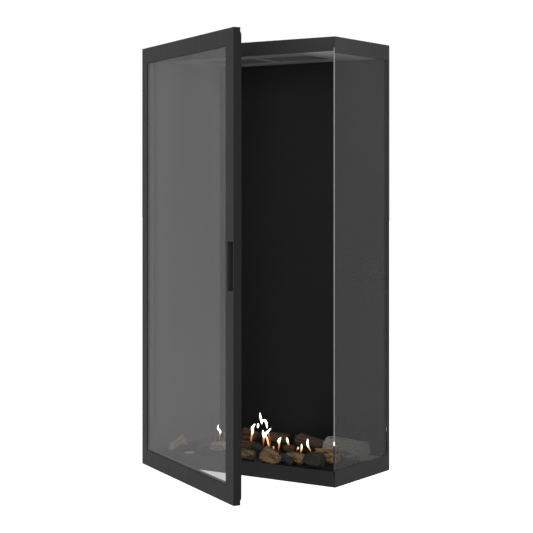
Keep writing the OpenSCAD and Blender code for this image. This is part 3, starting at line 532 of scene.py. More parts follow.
# painted light: the ceiling turns lighter towards the right, where light comes in through the side glass
dress("ceiling_plate", paint("ceiling_lit_coat", (0.235, 0.235, 0.237), (0.265, 0.265, 0.267), 0.5, 1.35,
                             0.7, 0.03, 4.0, painted_shading=("X", 0.18, 0.27, 0.7)))
dress("grip_cup", paint("recess_black", (0.016, 0.016, 0.0162), (0.02, 0.02, 0.0202), 0.6, 1.28))
dress("spark_electrode", paint("porcelain", (0.72, 0.72, 0.69), (0.8, 0.8, 0.77), 0.2, 1.5, 2.0, 0.01, 60.0))
dress("rear_stiffeners fixing_nuts flue_socket air_ring pilot_burner lower_hinge_bracket upper_hinge_bracket "
      "hinge_pins corner_plugs catch_magnets",
      metal("bright_steel", (0.42, 0.42, 0.43), (0.26, 0.25, 0.25), 0.4))
dress("burner_pan burner_deck", metal("burner_steel", (0.1, 0.09, 0.085), (0.03, 0.03, 0.035), 0.55))
dress("gas_inlet gas_pipe injector hinge_bushes",
      metal("brass_parts", (0.62, 0.42, 0.17), (0.35, 0.2, 0.08), 0.35))
dress("left_insulation rear_insulation",
      fibre("insulation_board", (0.3, 0.26, 0.2), (0.55, 0.5, 0.4), 6 * MM))
dress("side_glass_seals glass_tape", fibre("seal_tape", (0.02, 0.02, 0.02), (0.07, 0.068, 0.065), 2 * MM))

black_steel = metal("blackened_steel", (0.05, 0.05, 0.052), (0.02, 0.02, 0.02), 0.5)
seal_rope = rope("seal_rope", (0.005, 0.005, 0.005), (0.018, 0.0175, 0.017))
door_pane = pane_glass("door_pane", (0.131, 0.131, 0.132), 0.35, 1.3, 0.2, 1.15)
side_pane = pane_glass("side_pane", (0.0495, 0.0495, 0.05), 0.35, 1.3, 0.2, 1.0)
door_rim = ground_edge("door_rim", (0.24, 0.26, 0.25), False)
# soot low on the fixed pane's edge, with a painted glint above it
side_rim = ground_edge("side_rim", (0.23, 0.242, 0.236), True)
bark_brown = bark("bark_brown", (0.085, 0.052, 0.036), (0.014, 0.011, 0.01), (0.11, 0.08, 0.055))
bark_hot = bark("bark_hot", (0.05, 0.036, 0.026), (0.012, 0.01, 0.01), (0.07, 0.06, 0.042), 0.7)
log_grey = bark("log_grey", (0.27, 0.252, 0.22), (0.07, 0.067, 0.062), (0.36, 0.335, 0.29))
charcoal = charred("charcoal", (0.005, 0.0055, 0.006), (0.014, 0.0165, 0.0185), (0.09, 0.1, 0.105), 0.35)
charcoal_olive = charred("charcoal_olive", (0.0045, 0.0043, 0.0034), (0.0135, 0.0125, 0.0092),
                         (0.045, 0.042, 0.03), 0.2)
embers = ember_grit("embers", 0.9)
flame = flame_light("flame", 4.0)


# ---- glass

# The door's pane along, through and up in door coordinates, and the width of every ground arris
DOOR_PANE = ((33, 590.5), (2.7, 6.7), (39.9, 1160.1))
ARRIS = 0.4 * MM


def plate(place, along, through, up):
    """A glass plate, as four rectangles through its thickness, the outer two drawn in by the arris.

    place makes points of arrays along, through and up, each given here as low and high. The two faces
    have the first finish, and the edges the second."""
    inset = np.array([[ARRIS], [0], [0], [ARRIS]])
    depth = np.array([[through[0]], [through[0] + ARRIS], [through[1] - ARRIS], [through[1]]])
    a = np.array([along[0], along[1], along[1], along[0]]) + inset * (1, -1, -1, 1)
    z = np.array([up[0], up[0], up[1], up[1]]) + inset * (1, 1, -1, -1)
    faces = [(0, 1, 2, 3), (15, 14, 13, 12)] + grid_faces(4, 4)
    return place(a, depth, z), faces, [0, 0] + [1] * 12


def build_panes():
    """The side glass in its node's box, and the door's glass in door coordinates."""
    low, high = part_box("side_glass")
    side = plate(lambda a, d, z: xyz(d, a, z), (low.y, high.y), (low.x, high.x), (low.z, high.z))
    door = plate(in_door, *(np.array(span) * MM for span in DOOR_PANE))
    for pane, body, node, finishes in ((side, "cabinet", "side_glass", [side_pane, side_rim]),
                                       (door, "door", "door_glass", [door_pane, door_rim])):
        points, faces, kinds = pane
        make_piece(node + "_pane", points, faces, body, "ceramic_glass", finishes, [node], kinds,
                   smooth=False)


# ---- seal and screws

# The door seal's middle line runs around this rectangle behind the door, and has this half section
SEAL_LOW, SEAL_HIGH, SEAL_CORNER, SEAL_BACK = (26, 14.5), (628.5, 1185.5), 5, 21.15
SEAL_HALF_WIDE, SEAL_HALF_THICK = 3.7, 1.98
SEAL_STEP, STRAND_PITCH = 1.15, 6.4

# Screws: radius and depth of the head, radius and length of the shank, radius of the socket. The casing's
# stand at each X and Z of its back; the beads' run across the door (u) and up it (z), behind its front
CASING_SCREW = (3.5, 1.5, 2, 8, 1.2)
CASING_SCREWS_X, CASING_SCREWS_Z, CASING_BACK = (-285, -95, 95, 285), (20.5, 1184), 147.5
BEAD_SCREW = (3, 1.5, 1.5, 8, 1.0)
SIDE_BEADS_U, SIDE_SCREWS_Z = (38, 585.5), (104.9, 352.45, 600, 847.55, 1095.1)
CROSS_BEADS_Z, CROSS_SCREWS_U = (44.9, 1155.1), (98, 311.75, 525.5)
BEAD_SCREWS_BACK = 13.6


def band_loop(low, high, corner, pitch):
    """Even points, their outward directions and their places along a rectangle with rounded corners."""
    turn = np.linspace(0, np.pi / 2, 9)
    middles = ((high[0] - corner, high[1] - corner), (low[0] + corner, high[1] - corner),
               (low[0] + corner, low[1] + corner), (high[0] - corner, low[1] + corner))
    turns = [turn + k * np.pi / 2 for k in range(4)]
    arcs = [np.stack([x + corner * np.cos(a), z + corner * np.sin(a)], -1)
            for a, (x, z) in zip(turns, middles)]
    path = np.concatenate(arcs + [arcs[0][:1]])
    along = np.concatenate([[0], np.cumsum(np.hypot(*np.diff(path, axis=0).T))])
    even = np.linspace(0, along[-1], int(along[-1] / pitch), endpoint=False)
    points = np.stack([np.interp(even, along, path[:, 0]), np.interp(even, along, path[:, 1])], -1)
    way = np.roll(points, -1, 0) - np.roll(points, 1, 0)
    way /= np.linalg.norm(way, axis=1)[:, None]
    return points, np.stack([way[:, 1], -way[:, 0]], -1), even


def build_door_seal():
    """Knitted rope in a flat oval section around the door's back; two crossing sets of strands stand out.

    The section goes with the 0.75th power of the cosine and sine around it, and each strand is a sine of
    the place along the rope plus or minus the angle around it."""
    points, out, along = band_loop(SEAL_LOW, SEAL_HIGH, SEAL_CORNER, SEAL_STEP)
    q = angles(14)
    s = along[:, None]
    lay = np.pi * s / STRAND_PITCH
    strands = np.maximum(np.abs(np.sin(lay + 1.5 * q)), np.abs(np.sin(lay - 1.5 * q))) ** 2
    swell = 1 + 0.07 * (strands - 0.1)
    wide, thick = (half * swell * np.sign(wave) * np.abs(wave) ** 0.75
                   for half, wave in ((SEAL_HALF_WIDE, np.cos(q)), (SEAL_HALF_THICK, np.sin(q))))
    u = points[:, :1] + out[:, :1] * wide
    z = points[:, 1:] + out[:, 1:] * wide
    world = in_door(u * MM, (SEAL_BACK + thick) * MM, z * MM).reshape(-1, 3)
    weave = xyz(s * MM, q * 2.5 * MM, 0.0).reshape(-1, 3)
    make_piece("door_seal_rope", world, grid_faces(*wide.shape, ring=True), "door", "seal_rope", [seal_rope],
               ["door_seal"], values={"strand": strands.ravel(), "weave": weave})


def screw(at, way, head, head_depth, shank, length, key):
    """Countersunk screw with a six-sided socket: rings from the socket's floor out over the head, down the
    cone and the shank to a blunt tip. at is the middle of the head's face, way points into the material."""
    profile = np.array([(0.6 * key, 0.55 * head_depth, 1), (key, 0.55 * head_depth, 1), (key, 0.12, 1),
                        (key + 0.2, 0, 0), (head - 0.12, 0, 0), (head, 0.12, 0), (shank, head_depth, 0),
                        (shank, length - 0.8, 0), (0.6 * shank, length, 0)])
    q = angles(24)
    six = math.cos(np.pi / 6) / np.cos(np.mod(q, np.pi / 3) - np.pi / 6)
    reach = profile[:, :1] * (1 + profile[:, 2:] * (six - 1))
    way = np.asarray(way, float) / np.linalg.norm(way)
    side = np.cross(way, (0.36, 0.48, 0.8))
    side /= np.linalg.norm(side)
    other = np.cross(way, side)
    rings = (np.asarray(at) + (reach * np.cos(q))[..., None] * MM * side
             + (reach * np.sin(q))[..., None] * MM * other + profile[:, 1][:, None, None] * MM * way)
    return *capped(rings), {}


def build_screws():
    """Screws into the casing's back, and through the door's beads, away from the glass."""
    inward = in_door(1.0, 0.0, 0.0) - in_door(0.0, 0.0, 0.0)
    casing = [screw((x * MM, CASING_BACK * MM, z * MM), (0, -1, 0), *CASING_SCREW)
              for x in CASING_SCREWS_X for z in CASING_SCREWS_Z]
    places = [(u, z, way) for z in SIDE_SCREWS_Z for u, way in zip(SIDE_BEADS_U, (-inward, inward))]
    places += [(u, z, way) for u in CROSS_SCREWS_U for z, way in zip(CROSS_BEADS_Z, ((0, 0, -1), (0, 0, 1)))]
    beads = [screw(in_door(u * MM, BEAD_SCREWS_BACK * MM, z * MM), way, *BEAD_SCREW) for u, z, way in places]
    for kind, screws, body in (("casing_screw", casing, "cabinet"), ("bead_screw", beads, "door")):
        points, faces, _ = joined(screws)
        make_piece(kind + "_set", points, faces, body, "bright_steel", [black_steel], [kind + "s"],
                   smooth=False)


# ---- logs and charcoal

# What the logs rest on: the hearth floor, the burner and the shelf behind it
FLOOR_Z, BURNER_Z, SHELF_Z = 40.5, 42, 59.5
ROUND, SPLIT, LUMP = "round", "split", "lump"

# End of its name, start and end in plan, radius at both, height or heights it rests on, seed, form, turn,
# finish
FRONT_LOGS = [
    ("left", (-12, -112), (36, -124), 16, 15, FLOOR_Z, 1, SPLIT, 0.5, "tan"),
    # painted shade: this log's wood is tan made darker, as it faces the lamps
    ("chunk", (70, -113), (128, -128), 22, 14, FLOOR_Z, 2, SPLIT, 1.6, "dun"),
    ("middle", (124, -72), (196, -114), 15, 15, FLOOR_Z, 3, SPLIT, 0.9, "tan"),
    # painted light: tan made lighter, as this log lies in the key lamp's shadow
    ("right", (196, -30), (264, -54), 19, 24, BURNER_Z, 4, SPLIT, 0.3, "honey"),
    # painted light: the pale wood of these three logs on the left stands for light, as the door shades them
    ("corner", (-240, -135), (-262, -46), 10, 10, (FLOOR_Z, 54), 5, SPLIT, 1.2, "pale"),
    ("chip", (-268, -54), (-254, -40), 7, 7, FLOOR_Z, 24, SPLIT, 0.6, "pale"),
    ("far_left", (-136, -78), (-92, -74), 15, 15, BURNER_Z, 6, SPLIT, 0.8, "pale"),
]
MIDDLE_LOGS = [
    ("red", (58, 10), (94, 10), 10, 10, 48, 7, ROUND, 0.0, "red"),
    ("dark", (-96, -14), (-30, -20), 17, 16, BURNER_Z, 8, ROUND, 0.4, "brown"),
    ("left", (-190, -58), (-186, -10), 14, 12, BURNER_Z, 9, SPLIT, 0.4, "tan"),
    ("small", (-168, -102), (-146, -96), 11, 10, BURNER_Z, 10, ROUND, 1.1, "brown"),
]
BACK_LOGS = [
    ("bark", (70, 62), (174, 42), 19.5, 13, SHELF_Z, 11, ROUND, 0.2, "brown"),
    ("hot", (-34, 60), (36, 60), 16, 16, SHELF_Z, 12, ROUND, 0.7, "hot"),
    ("left", (-122, 62), (-68, 62), 16, 14, SHELF_Z, 13, SPLIT, 1.9, "red"),
]
SIDE_LOG = [("big", (176, 51), (298, 46), 31, 30, FLOOR_Z, 15, ROUND, 0.3, "grey")]
CHARCOAL = [
    ("front_right", (102, -86), (166, -129), 11, 14, FLOOR_Z, 16, LUMP, 0.4, "coal"),
    ("corner", (214, -118), (262, -114), 23, 23, FLOOR_Z, 17, LUMP, 0.9, "olive"),
    ("middle", (-16, -48), (20, -50), 16, 15, BURNER_Z, 18, LUMP, 0.1, "coal"),
    ("front", (30, -135), (50, -137), 8, 7, FLOOR_Z, 19, LUMP, 0.7, "coal"),
    ("left", (-120, -128), (-96, -125), 8, 8, FLOOR_Z, 20, LUMP, 0.2, "coal"),
    ("small", (-66, -126), (-64, -100), 9, 10, FLOOR_Z, 21, LUMP, 0.5, "coal"),
    ("back", (34, -10), (42, -36), 12, 12, BURNER_Z, 22, LUMP, 0.8, "coal"),
    ("back_right", (160, -30), (186, -20), 10, 10, BURNER_Z, 23, LUMP, 0.3, "coal"),
]
LOG_GROUPS = [("front_logs", "front_log", FRONT_LOGS), ("middle_logs", "middle_log", MIDDLE_LOGS),
              ("back_logs", "back_log", BACK_LOGS), ("big_side_log", "side_log", SIDE_LOG),
              ("charcoal_lumps", "charcoal", CHARCOAL)]
# The split logs' finishes: how far each chars where it is burnt, its colours and how red it is. Three are
# copies of tan with painted light and shade: one darker for a log that the lamps light from the front, two
# lighter for logs in shadow, the pale one lightest.
WOODS = {
    "tan": (0.6, (0.275, 0.178, 0.088), (0.185, 0.118, 0.057), (0.05, 0.032, 0.016)),
    "dun": (0.6, (0.215, 0.139, 0.071), (0.144, 0.092, 0.046), (0.04, 0.026, 0.013)),
    "honey": (0.5, (0.42, 0.272, 0.132), (0.28, 0.178, 0.085), (0.06, 0.038, 0.019)),
    "pale": (0.3, (0.66, 0.52, 0.35), (0.54, 0.42, 0.28), (0.24, 0.18, 0.12)),
    "red": (1.0, (0.12, 0.07, 0.045), (0.08, 0.047, 0.032), (0.035, 0.022, 0.017), 0.6),
}
LOG_FINISH = {name: (split_wood("wood_" + name, *colours), "log_split", burnt)
              for name, (burnt, *colours) in WOODS.items()}
LOG_FINISH |= {"brown": (bark_brown, "log_bark", 1.0), "hot": (bark_hot, "log_bark", 1.0),
               "grey": (log_grey, "log_ash", 0.2), "coal": (charcoal, "charcoal", 1.0),
               "olive": (charcoal_olive, "charcoal", 1.0)}
# A log's axis lies this share of its radius above what carries it, less a gap
LOG_SINK, LOG_GAP = 0.82, 0.3
# Points around a log, rings along it and rings over each end
AROUND, ALONG, CAP = 112, 88, 14
# By form: how much the ends draw in and over what share of the length, and how ragged they are
END_TAPER = {ROUND: (0.035, 0.05), SPLIT: (0.13, 0.13), LUMP: (0.32, 0.3)}
END_RAGGED = {ROUND: 1.2, SPLIT: 3.0, LUMP: 2.4}
# How far from its ends a log is rounded over, and how far up from what carries it it is scorched
END_ROUNDING, SCORCH_HEIGHT = 6, 9


def outline(form, q, turn):
    """Radius around a log, as a share: a soft wedge when split, a soft block for a lump, else near round."""
    corners = {ROUND: 0, SPLIT: 3, LUMP: 5}[form]
    if not corners:
        return 0.95 + 0.03 * np.sin(2 * q + turn) + 0.025 * np.sin(3 * q + 2.1 * turn)
    sector = 2 * np.pi / corners
    wedge = math.cos(sector / 2) / np.cos(np.mod(q - turn, sector) - sector / 2)
    return {SPLIT: 1.24, LUMP: 1.12}[form] * wedge ** {SPLIT: 0.6, LUMP: 0.8}[form]


def relief_of(form, local, q, seed):
    """Height of the surface above its outline, in mm, and the same from 0 to 1 for the finish.

    Bark has broad ridges along the log with narrow furrows and cross cracks; a split face has fine fibres
    and a few steps; a lump is cracked into blocks both ways."""
    along = local * np.array([0.16, 1, 1])
    if form == ROUND:
        warp = 1.3 * waves(local, 26, seed + 40)
        ridges = np.abs(np.sin(6.5 * q + warp)) ** 0.55
        cracks = np.abs(np.sin(local[..., 0] / 4.2 + 2.2 * waves(local, 14, seed + 41))) ** 0.35
        shape = 0.65 * ridges + 0.35 * ridges * cracks
        return 2.1 * (shape - 0.75) + 0.4 * waves(local, 4, seed + 42), shape
    if form == SPLIT:
        fibres = waves(along, 3.2, seed + 43)
        steps = np.tanh(4 * waves(along, 13, seed + 44))
        return 0.45 * fibres + 0.9 * steps, 0.5 + 0.3 * fibres + 0.2 * steps
    blocks = np.abs(waves(local, 13, seed + 45)) ** 0.5
    blocks = np.minimum(blocks, np.abs(waves(local, 17, seed + 46)) ** 0.5)
    grit = waves(local, 3.4, seed + 47)
    return 2.6 * (blocks - 0.6) + 0.5 * grit, np.clip(1.2 * blocks + 0.15 * grit, 0, 1)


def log_surface(start, end, radius_start, radius_end, rest, seed, form, turn, burnt):
    """One log or lump. Rings run from the start pole over the sawn or broken end, along the axis and over
    the other end; each ring's radius is the outline around it plus the relief, and it is cut off flat
    where it would pass below what it rests on."""
    rest_start, rest_end = rest if isinstance(rest, tuple) else (rest, rest)
    low = rest_start + LOG_GAP
    a = np.array([*start, low + LOG_SINK * radius_start])
    b = np.array([*end, rest_end + LOG_GAP + LOG_SINK * radius_end])
    length = np.linalg.norm(b - a)
    axis = (b - a) / length
    across = np.array([-axis[1], axis[0], 0]) / np.hypot(axis[0], axis[1])
    up = np.cross(axis, across)
    cap = np.linspace(0.08, 1, CAP, endpoint=False)
    body = np.linspace(0, 1, ALONG)
    t = np.concatenate([np.zeros(CAP), body, np.ones(CAP)])[:, None]
    share = np.concatenate([cap, np.ones(ALONG), cap[::-1]])[:, None]
    ends = np.minimum(t, 1 - t) * length
    drawn_in, over = END_TAPER[form]
    shoulder = 1 - drawn_in + drawn_in * np.clip(ends / (over * length), 0, 1) ** 0.5
    q = angles(AROUND)
    radius = (radius_start + (radius_end - radius_start) * t) * shoulder * share
    twist = turn + 0.35 * (t - 0.5)
    reach = radius * outline(form, q, twist)
    local = xyz(t * length, reach * np.cos(q), reach * np.sin(q))
    coarse = 1 + 0.05 * waves(local, 34, seed + 48)
    height, shape = relief_of(form, local, q, seed)
    reach = reach * coarse + height * share
    ragged = END_RAGGED[form] * waves(local * np.array([0, 1, 1]), 9, seed + 49)
    side = np.where(t < 0.5, -1, 1) * (1 - np.clip(ends / END_ROUNDING, 0, 1))
    dome = side * (0.9 * (1 - share ** 2) + 0.35 * ragged)
    s = t * length + dome
    outward = np.cos(q)[..., None] * across + np.sin(q)[..., None] * up
    points = a + s[..., None] * axis + reach[..., None] * outward
    points[..., 2] = np.maximum(points[..., 2], low)
    closed, faces = capped(points)
    grain = xyz(s, reach * np.cos(q), reach * np.sin(q)).reshape(-1, 3)
    grain = np.concatenate([grain, [[s[0].mean(), 0, 0], [s[-1].mean(), 0, 0]]]) * MM
    near_end = 1 - np.clip(ends / (0.16 * length), 0, 1)
    near_floor = 1 - np.clip((points[..., 2] - low) / SCORCH_HEIGHT, 0, 1)
    burn = np.clip(0.55 * near_end + 0.6 * near_floor + 0.25 * waves(local, 30, seed + 50), 0, 1.2)
    burn = np.append(burn, [0.6, 0.6])
    shape = np.append(shape, [0.5, 0.5])
    return closed * MM, faces, {"grain": grain + seed, "burn": burnt * burn, "relief": shape}


def build_logs():
    """Each log and lump, in place of the frame's node that holds its group."""
    for node, kind, logs in LOG_GROUPS:
        for name, *shape, finish in logs:
            material, slot, burnt = LOG_FINISH[finish]
            points, faces, values = log_surface(*shape, burnt)
            make_piece(f"{kind}_{name}", points, faces, "cabinet", slot, [material], [node], values=values)


# ---- ember bed

# The bed's grid, its coarse and fine grains, how far it starts below the top, its relief and level edge
BED_ROWS, BED_COLUMNS = 80, 440
COARSE_GRAIN, FINE_GRAIN = 9 * MM, 5 * MM
BED_SUNK, BED_RELIEF, BED_EDGE = 1.2 * MM, 2.2 * MM, 6 * MM
# Loose grains, and the steps whose fractions place and size them
LOOSE_EMBERS, STEP_X, STEP_Y, STEP_SIZE = 420, 0.61803399, 0.41421356, 0.75487767


def build_embers():
    """A rough bed over the burner: a grid of heights from two sizes of rounded waves, level at its edge,
    with a skirt down to the burner."""
    low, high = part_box("ember_bed")
    nx, ny = BED_COLUMNS, BED_ROWS
    x = np.linspace(low.x, high.x, nx)[None, :]
    y = np.linspace(low.y, high.y, ny)[:, None]
    flat = xyz(x, y, 0.0)
    grains = np.abs(waves(flat, COARSE_GRAIN, 71)) ** 0.6 + 0.5 * np.abs(waves(flat, FINE_GRAIN, 72)) ** 0.7
    edge = np.minimum(np.minimum(x - low.x, high.x - x), np.minimum(y - low.y, high.y - y))
    height = high.z - BED_SUNK + BED_RELIEF * grains * np.clip(edge / BED_EDGE, 0, 1)
    top = xyz(x, y, height).reshape(-1, 3)
    ring = np.concatenate([np.arange(nx), np.arange(1, ny) * nx + nx - 1,
                           (ny - 1) * nx + np.arange(nx - 2, -1, -1), np.arange(ny - 2, 0, -1) * nx]).tolist()
    skirt = top[ring]
    skirt[:, 2] = low.z
    faces = grid_faces(ny, nx, around=False)
    start, count = len(top), len(ring)
    faces += [(ring[k], start + k, start + (k + 1) % count, ring[(k + 1) % count]) for k in range(count)]
    faces.append(tuple(range(start + count - 1, start - 1, -1)))
    make_piece("ember_bed_grains", np.concatenate([top, skirt]), faces, "cabinet", "embers", [embers],
               ["ember_bed"])


def pebble(centre, size, seed):
    """A small broken grain: a ball of latitudes and longitudes, 0.7 as high as wide, made uneven by waves."""
    v = np.linspace(0, np.pi, 7)[1:-1][:, None]
    q = angles(8)
    ball = xyz(np.sin(v) * np.cos(q), np.sin(v) * np.sin(q), 0.7 * np.cos(v))
    ball = ball * (1 + 0.28 * waves(ball, 1.3, seed, 8))[..., None]
    poles = np.array([[0, 0, 0.7], [0, 0, -0.7]])
    points = np.concatenate([ball.reshape(-1, 3), poles]) * size + np.asarray(centre)
    return points, closed_faces(5, 8), {}


def build_loose_embers():
    """Grains spread over the burner and a little past its edges, placed and sized by the fractions of
    steps that never repeat."""
    low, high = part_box("ember_bed")
    k = np.arange(LOOSE_EMBERS)
    x = low.x - 6 * MM + (high.x - low.x + 12 * MM) * np.mod(k * STEP_X, 1)
    y = low.y - 10 * MM + (high.y - low.y + 16 * MM) * np.mod(k * STEP_Y + 0.13, 1)
    size = (1.8 + 2.4 * np.mod(k * STEP_SIZE, 1)) * MM
    parts = [pebble((x[i], y[i], high.z + 0.45 * size[i]), size[i], 900 + i) for i in k]
    points, faces, _ = joined(parts)
    make_piece("loose_embers", points, faces, "cabinet", "embers", [embers], smooth=False)


# ---- flames

# The flames' lines lie in an upright plane turned by this angle; each tongue is slimmer than its half widths
# and flatter still in depth
FLAME_PLANE_DEG = 33.95
TONGUE_WIDTH, TONGUE_DEPTH = 0.78, 0.6
TONGUE_RINGS, TONGUE_POINTS, LINE_ROUNDS = 44, 14, 3
# For each: where it starts, then its line from there, as right, up, half width and heat from 0 to 1
FLAMES = [
    ((-25, 14, 117), [(0, 0, 1, 1), (-0.9, 4.3, 2.6, 1), (-2.3, 11.5, 3.5, 1), (-3.7, 19.6, 2.9, 1),
     (-5.2, 27.1, 2.5, 1), (-4.6, 32, 0.9, 1)]),
    ((-12, 22, 105), [(0, 0, 1.3, 0.9), (-0.6, 6.3, 2.9, 1), (-2, 14.4, 3.5, 1), (-4.6, 20.8, 3.9, 1),
     (-8.4, 23.4, 3.7, 1), (-12.1, 21.6, 3.5, 1), (-14.7, 19, 1.4, 1)]),
    ((-51, -4, 59), [(0, -14, 0.8, 0), (0, 0, 2, 0.12), (0.3, 9.2, 3.6, 0.2), (1.2, 17.9, 3.7, 0.28),
     (2.9, 26, 3.5, 0.42), (4.6, 33.4, 3.6, 0.85), (4.9, 39.8, 4.3, 1), (3.7, 45.3, 5, 1),
     (5.8, 50.2, 3.7, 1), (8.9, 54.2, 2.6, 1), (12.1, 57.7, 1, 1)]),
    ((-36, 10, 105), [(0, 0, 1, 1), (0, 3.5, 3.3, 1), (0.4, 7.5, 3.6, 1), (0.6, 11, 2.6, 1),
     (0.6, 13.3, 0.9, 1)]),
    ((-21, 16, 62), [(0, -10, 0.8, 0), (0, 0, 1.7, 0.15), (0.6, 6.3, 3.5, 0.25), (1.2, 13.8, 3.7, 0.38),
     (1.7, 19, 4.3, 0.8), (0.6, 24.2, 4.9, 1), (-0.6, 29.4, 3.6, 1), (-0.9, 36.6, 1.2, 1)]),
    ((-17, 14, 80), [(0, 0, 1.4, 0.8), (1.2, 4.6, 4.3, 1), (4.6, 10.4, 4.3, 1), (9.2, 14.4, 3.6, 1),
     (13.8, 19, 2.7, 1), (19.3, 24.8, 1, 1)]),
    ((10, -2, 61), [(0, -16, 0.8, 0), (0, 0, 2.6, 0.4), (-1.4, 4.6, 3.3, 0.55), (-3.1, 12.6, 2.9, 0.62),
     (-4.9, 19.5, 2.9, 0.62), (-7.7, 25.2, 2.9, 0.7), (-10, 29.2, 1.7, 0.9)]),
    ((13, 2, 70), [(0, -22, 0.8, 0), (0, 0, 1.4, 0.02), (-1.7, 8.6, 3.1, 0.05), (-4.3, 16.6, 3.1, 0.1),
     (-6, 22.9, 2.6, 0.3), (-6, 27.5, 1.1, 0.6)]),
    ((57, -47, 60), [(0, -14, 0.8, 0), (0, 0, 1.1, 0.1), (-0.6, 3.4, 2.1, 0.35), (-0.8, 6.8, 2.4, 0.5),
     (-0.8, 10.1, 1.1, 0.5)]),
    ((68, -40, 59), [(0, -14, 0.8, 0), (0, 0, 1, 0.12), (0.8, 5.6, 2.3, 0.25), (1.7, 11.3, 2.7, 0.35),
     (2, 16.9, 2.8, 0.45), (1.4, 22.5, 3.9, 0.75), (1.4, 26.5, 4.9, 1), (3.4, 30.4, 4.2, 0.95),
     (5.9, 33.8, 2.8, 0.7), (7.3, 36.9, 1, 0.5)]),
    ((67, 17, 60), [(0, -1, 0.8, 0), (0, 0, 1, 0.1), (-1.1, 4.6, 2.6, 0.3), (-2.8, 9.7, 2.8, 0.5),
     (-4.3, 14.8, 3.3, 0.75), (-5.7, 19.9, 3.8, 0.9), (-6.3, 23.9, 3.1, 0.7), (-6.6, 27.6, 1, 0.5)]),
    ((102, 2, 54), [(0, -8, 0.6, 0), (0, 0, 0.8, 0.05), (1.1, 3.4, 1.7, 0.15), (3.4, 6.2, 3.3, 0.6),
     (4.2, 9, 3.1, 0.6), (4.2, 11.9, 1.1, 0.5)]),
    ((153, -58, 59), [(0, 0, 1, 0.05), (0.8, 5, 1.8, 0.15), (1.7, 9.4, 2.8, 0.4), (3.1, 13.3, 2.6, 0.65),
     (3.3, 18.3, 2.1, 0.9), (3.3, 23.9, 2.1, 0.9), (3.1, 29.1, 0.8, 0.6)]),
    ((169, -29, 63), [(0, -16, 0.8, 0), (0, 0, 1, 0.15), (-2.2, 4.5, 2.2, 0.4), (-5, 10, 2.4, 0.5),
     (-8.1, 15, 3.1, 0.75), (-9.2, 21.2, 3.2, 1), (-9.2, 27.8, 3.1, 1), (-8.9, 32.9, 2.2, 0.9),
     (-8.9, 36.2, 0.8, 0.7)]),
    ((-75, -19, 57), [(0, -12, 0.8, 0), (0, 0, 1.2, 0), (-0.3, 2.6, 2.9, 0.08), (-0.3, 4.9, 2.9, 0.1),
     (-0.3, 7.5, 1.2, 0.05)]),
    ((-156, -14, 62), [(0, -16, 0.8, 0), (0, 0, 1.5, 0.2), (0.9, 8.2, 2.5, 0.25), (1.5, 15.2, 2.6, 0.35),
     (2.6, 20.4, 2.8, 0.8), (3.8, 25.1, 3.8, 1), (0.9, 28.6, 4.4, 1), (-3.2, 31.5, 3.9, 1),
     (-4.7, 36.2, 2.9, 1), (-3.2, 41.4, 2.3, 0.95), (-2.6, 44.9, 0.9, 0.8)]),
    ((-164, -23, 61), [(0, -15, 0.8, 0), (0, 0, 1.5, 0.1), (0, 4.1, 2.6, 0.15), (0, 8.2, 1.5, 0.15)]),
    ((-187, -35, 62), [(0, -16, 0.8, 0), (0, 0, 1.8, 0.05), (0, 3.5, 2.9, 0.08), (0, 7.6, 1.5, 0.05)]),
]


def flame_tongue(root, rows, seed):
    """One tongue: oval rings square to a smoothed line in an upright plane, which sways a little in depth."""
    line = smooth_line(rows, TONGUE_RINGS)
    way = np.gradient(line[:, :2], axis=0)
    way /= np.linalg.norm(way, axis=1)[:, None]
    q = angles(TONGUE_POINTS)
    right, up, half, heat = (line[:, k][:, None] for k in range(4))
    half = TONGUE_WIDTH * half
    across = right + half * np.cos(q) * way[:, 1:2]
    height = up - half * np.cos(q) * way[:, 0:1]
    depth = TONGUE_DEPTH * half * np.sin(q) + 1.5 * np.sin(0.11 * up + seed)
    yaw = math.radians(FLAME_PLANE_DEG)
    rings = (np.asarray(root, float) + across[..., None] * np.array([math.cos(yaw), math.sin(yaw), 0])
             + depth[..., None] * np.array([-math.sin(yaw), math.cos(yaw), 0])
             + height[..., None] * np.array([0, 0, 1]))
    points, faces = capped(rings)
    hot = np.broadcast_to(heat, across.shape).ravel()
    return points * MM, faces, {"warmth": np.append(hot, [hot[0], hot[-1]])}


def build_flames():
    """All the tongues as one piece."""
    parts = [flame_tongue(root, rows, seed) for seed, (root, rows) in enumerate(FLAMES)]
    points, faces, values = joined(parts)
    make_piece("flames", points, faces, "cabinet", "embers", [flame], values=values)


# ---- stage

AMBIENT = 0.55
FLOOR_SEEN, FLOOR_MIRRORED = 0.88, 0.5
FLOOR_REACH, FLOOR_DROP = 30.0, 0.2 * MM
LAMPS = [
    ("key_lamp", (2.2, -2.6, 1.3), (0, -0.1, 0.6), (2.0, 1.6), 60),
    ("fill_lamp", (-2.8, -2.4, 1.8), (0, -0.1, 0.6), (2.4, 2.4), 20),
]


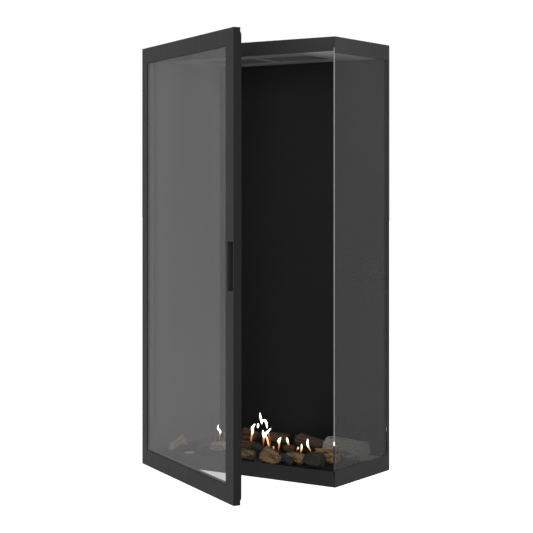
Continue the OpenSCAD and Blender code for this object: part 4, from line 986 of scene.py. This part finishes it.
def build_floor():
    """Pale floor, which the camera, mirrors and glass see as white, with the object's shadow on it."""
    finish = Finish("floor_finish", Roughness=0.8)
    flecks = finish.noise(finish.place(), 40, 3, 0.5)
    seen = finish.add("LightPath").outputs
    mirrored = finish.math("MAXIMUM", seen["Is Glossy Ray"], seen["Is Transmission Ray"])
    white = finish.times(seen["Is Camera Ray"], FLOOR_SEEN, finish.times(mirrored, FLOOR_MIRRORED))
    finish.set(Base_Color=finish.ramp(flecks, (0.2, 0.8), (0.8, 0.84)),
               Emission_Color=(1, 1, 1), Emission_Strength=white)
    far, low = FLOOR_REACH, -FLOOR_DROP
    mesh = bpy.data.meshes.new("floor")
    corners = [(-far, -far, low), (far, -far, low), (far, far, low), (-far, far, low)]
    mesh.from_pydata(corners, [], [(0, 1, 2, 3)])
    mesh.materials.append(finish.material)
    placed("floor", mesh)


def build_surroundings():
    """White surroundings for the camera, mirrors and glass, and a dimmer even light for all else."""
    world = bpy.data.worlds.new("surroundings")
    bpy.context.scene.world = world
    world.use_nodes = True
    sky = Nodes(world.node_tree)
    seen = sky.add("LightPath").outputs
    white = sky.math("MAXIMUM", seen["Is Camera Ray"], seen["Is Glossy Ray"])
    white = sky.math("MAXIMUM", white, seen["Is Transmission Ray"])
    level = sky.add("MapRange", inputs={"Value": white, "To Min": AMBIENT, "To Max": 1.0})
    background = world.node_tree.nodes["Background"].inputs
    sky.feed(background["Color"], (1, 1, 1))
    sky.feed(background["Strength"], level.outputs[0])


def build_lamps():
    """Soft rectangular lamps, each turned about the upright and tipped towards its aim."""
    for name, at, aim, size, power in LAMPS:
        lamp = bpy.data.lights.new(name, "AREA")
        lamp.shape = "RECTANGLE"
        lamp.size, lamp.size_y = size
        lamp.energy = power
        holder = placed(name, lamp)
        holder.location = at
        x, y, z = np.subtract(aim, at)
        holder.rotation_euler = (math.pi / 2 + math.atan2(z, math.hypot(x, y)), 0, math.atan2(-x, y))


def build_camera():
    """The photograph's camera: level, with its frame shifted so that the horizon lies above the middle."""
    lens = bpy.data.cameras.new("camera")
    lens.sensor_width = SENSOR_MM
    lens.lens = SENSOR_MM * FOCAL_PX / PHOTO_PX
    lens.shift_y = (HORIZON_PX - PHOTO_PX / 2) / PHOTO_PX
    lens.clip_end = 100
    camera = placed("camera", lens)
    camera.location = CAMERA_AT
    camera.rotation_euler = (math.pi / 2, 0, math.radians(CAMERA_YAW_DEG))
    bpy.context.scene.camera = camera
    bpy.context.scene.view_settings.view_transform = "Standard"


build_panes()
build_door_seal()
build_screws()
build_logs()
build_embers()
build_loose_embers()
build_flames()
build_floor()
build_surroundings()
build_lamps()
build_camera()
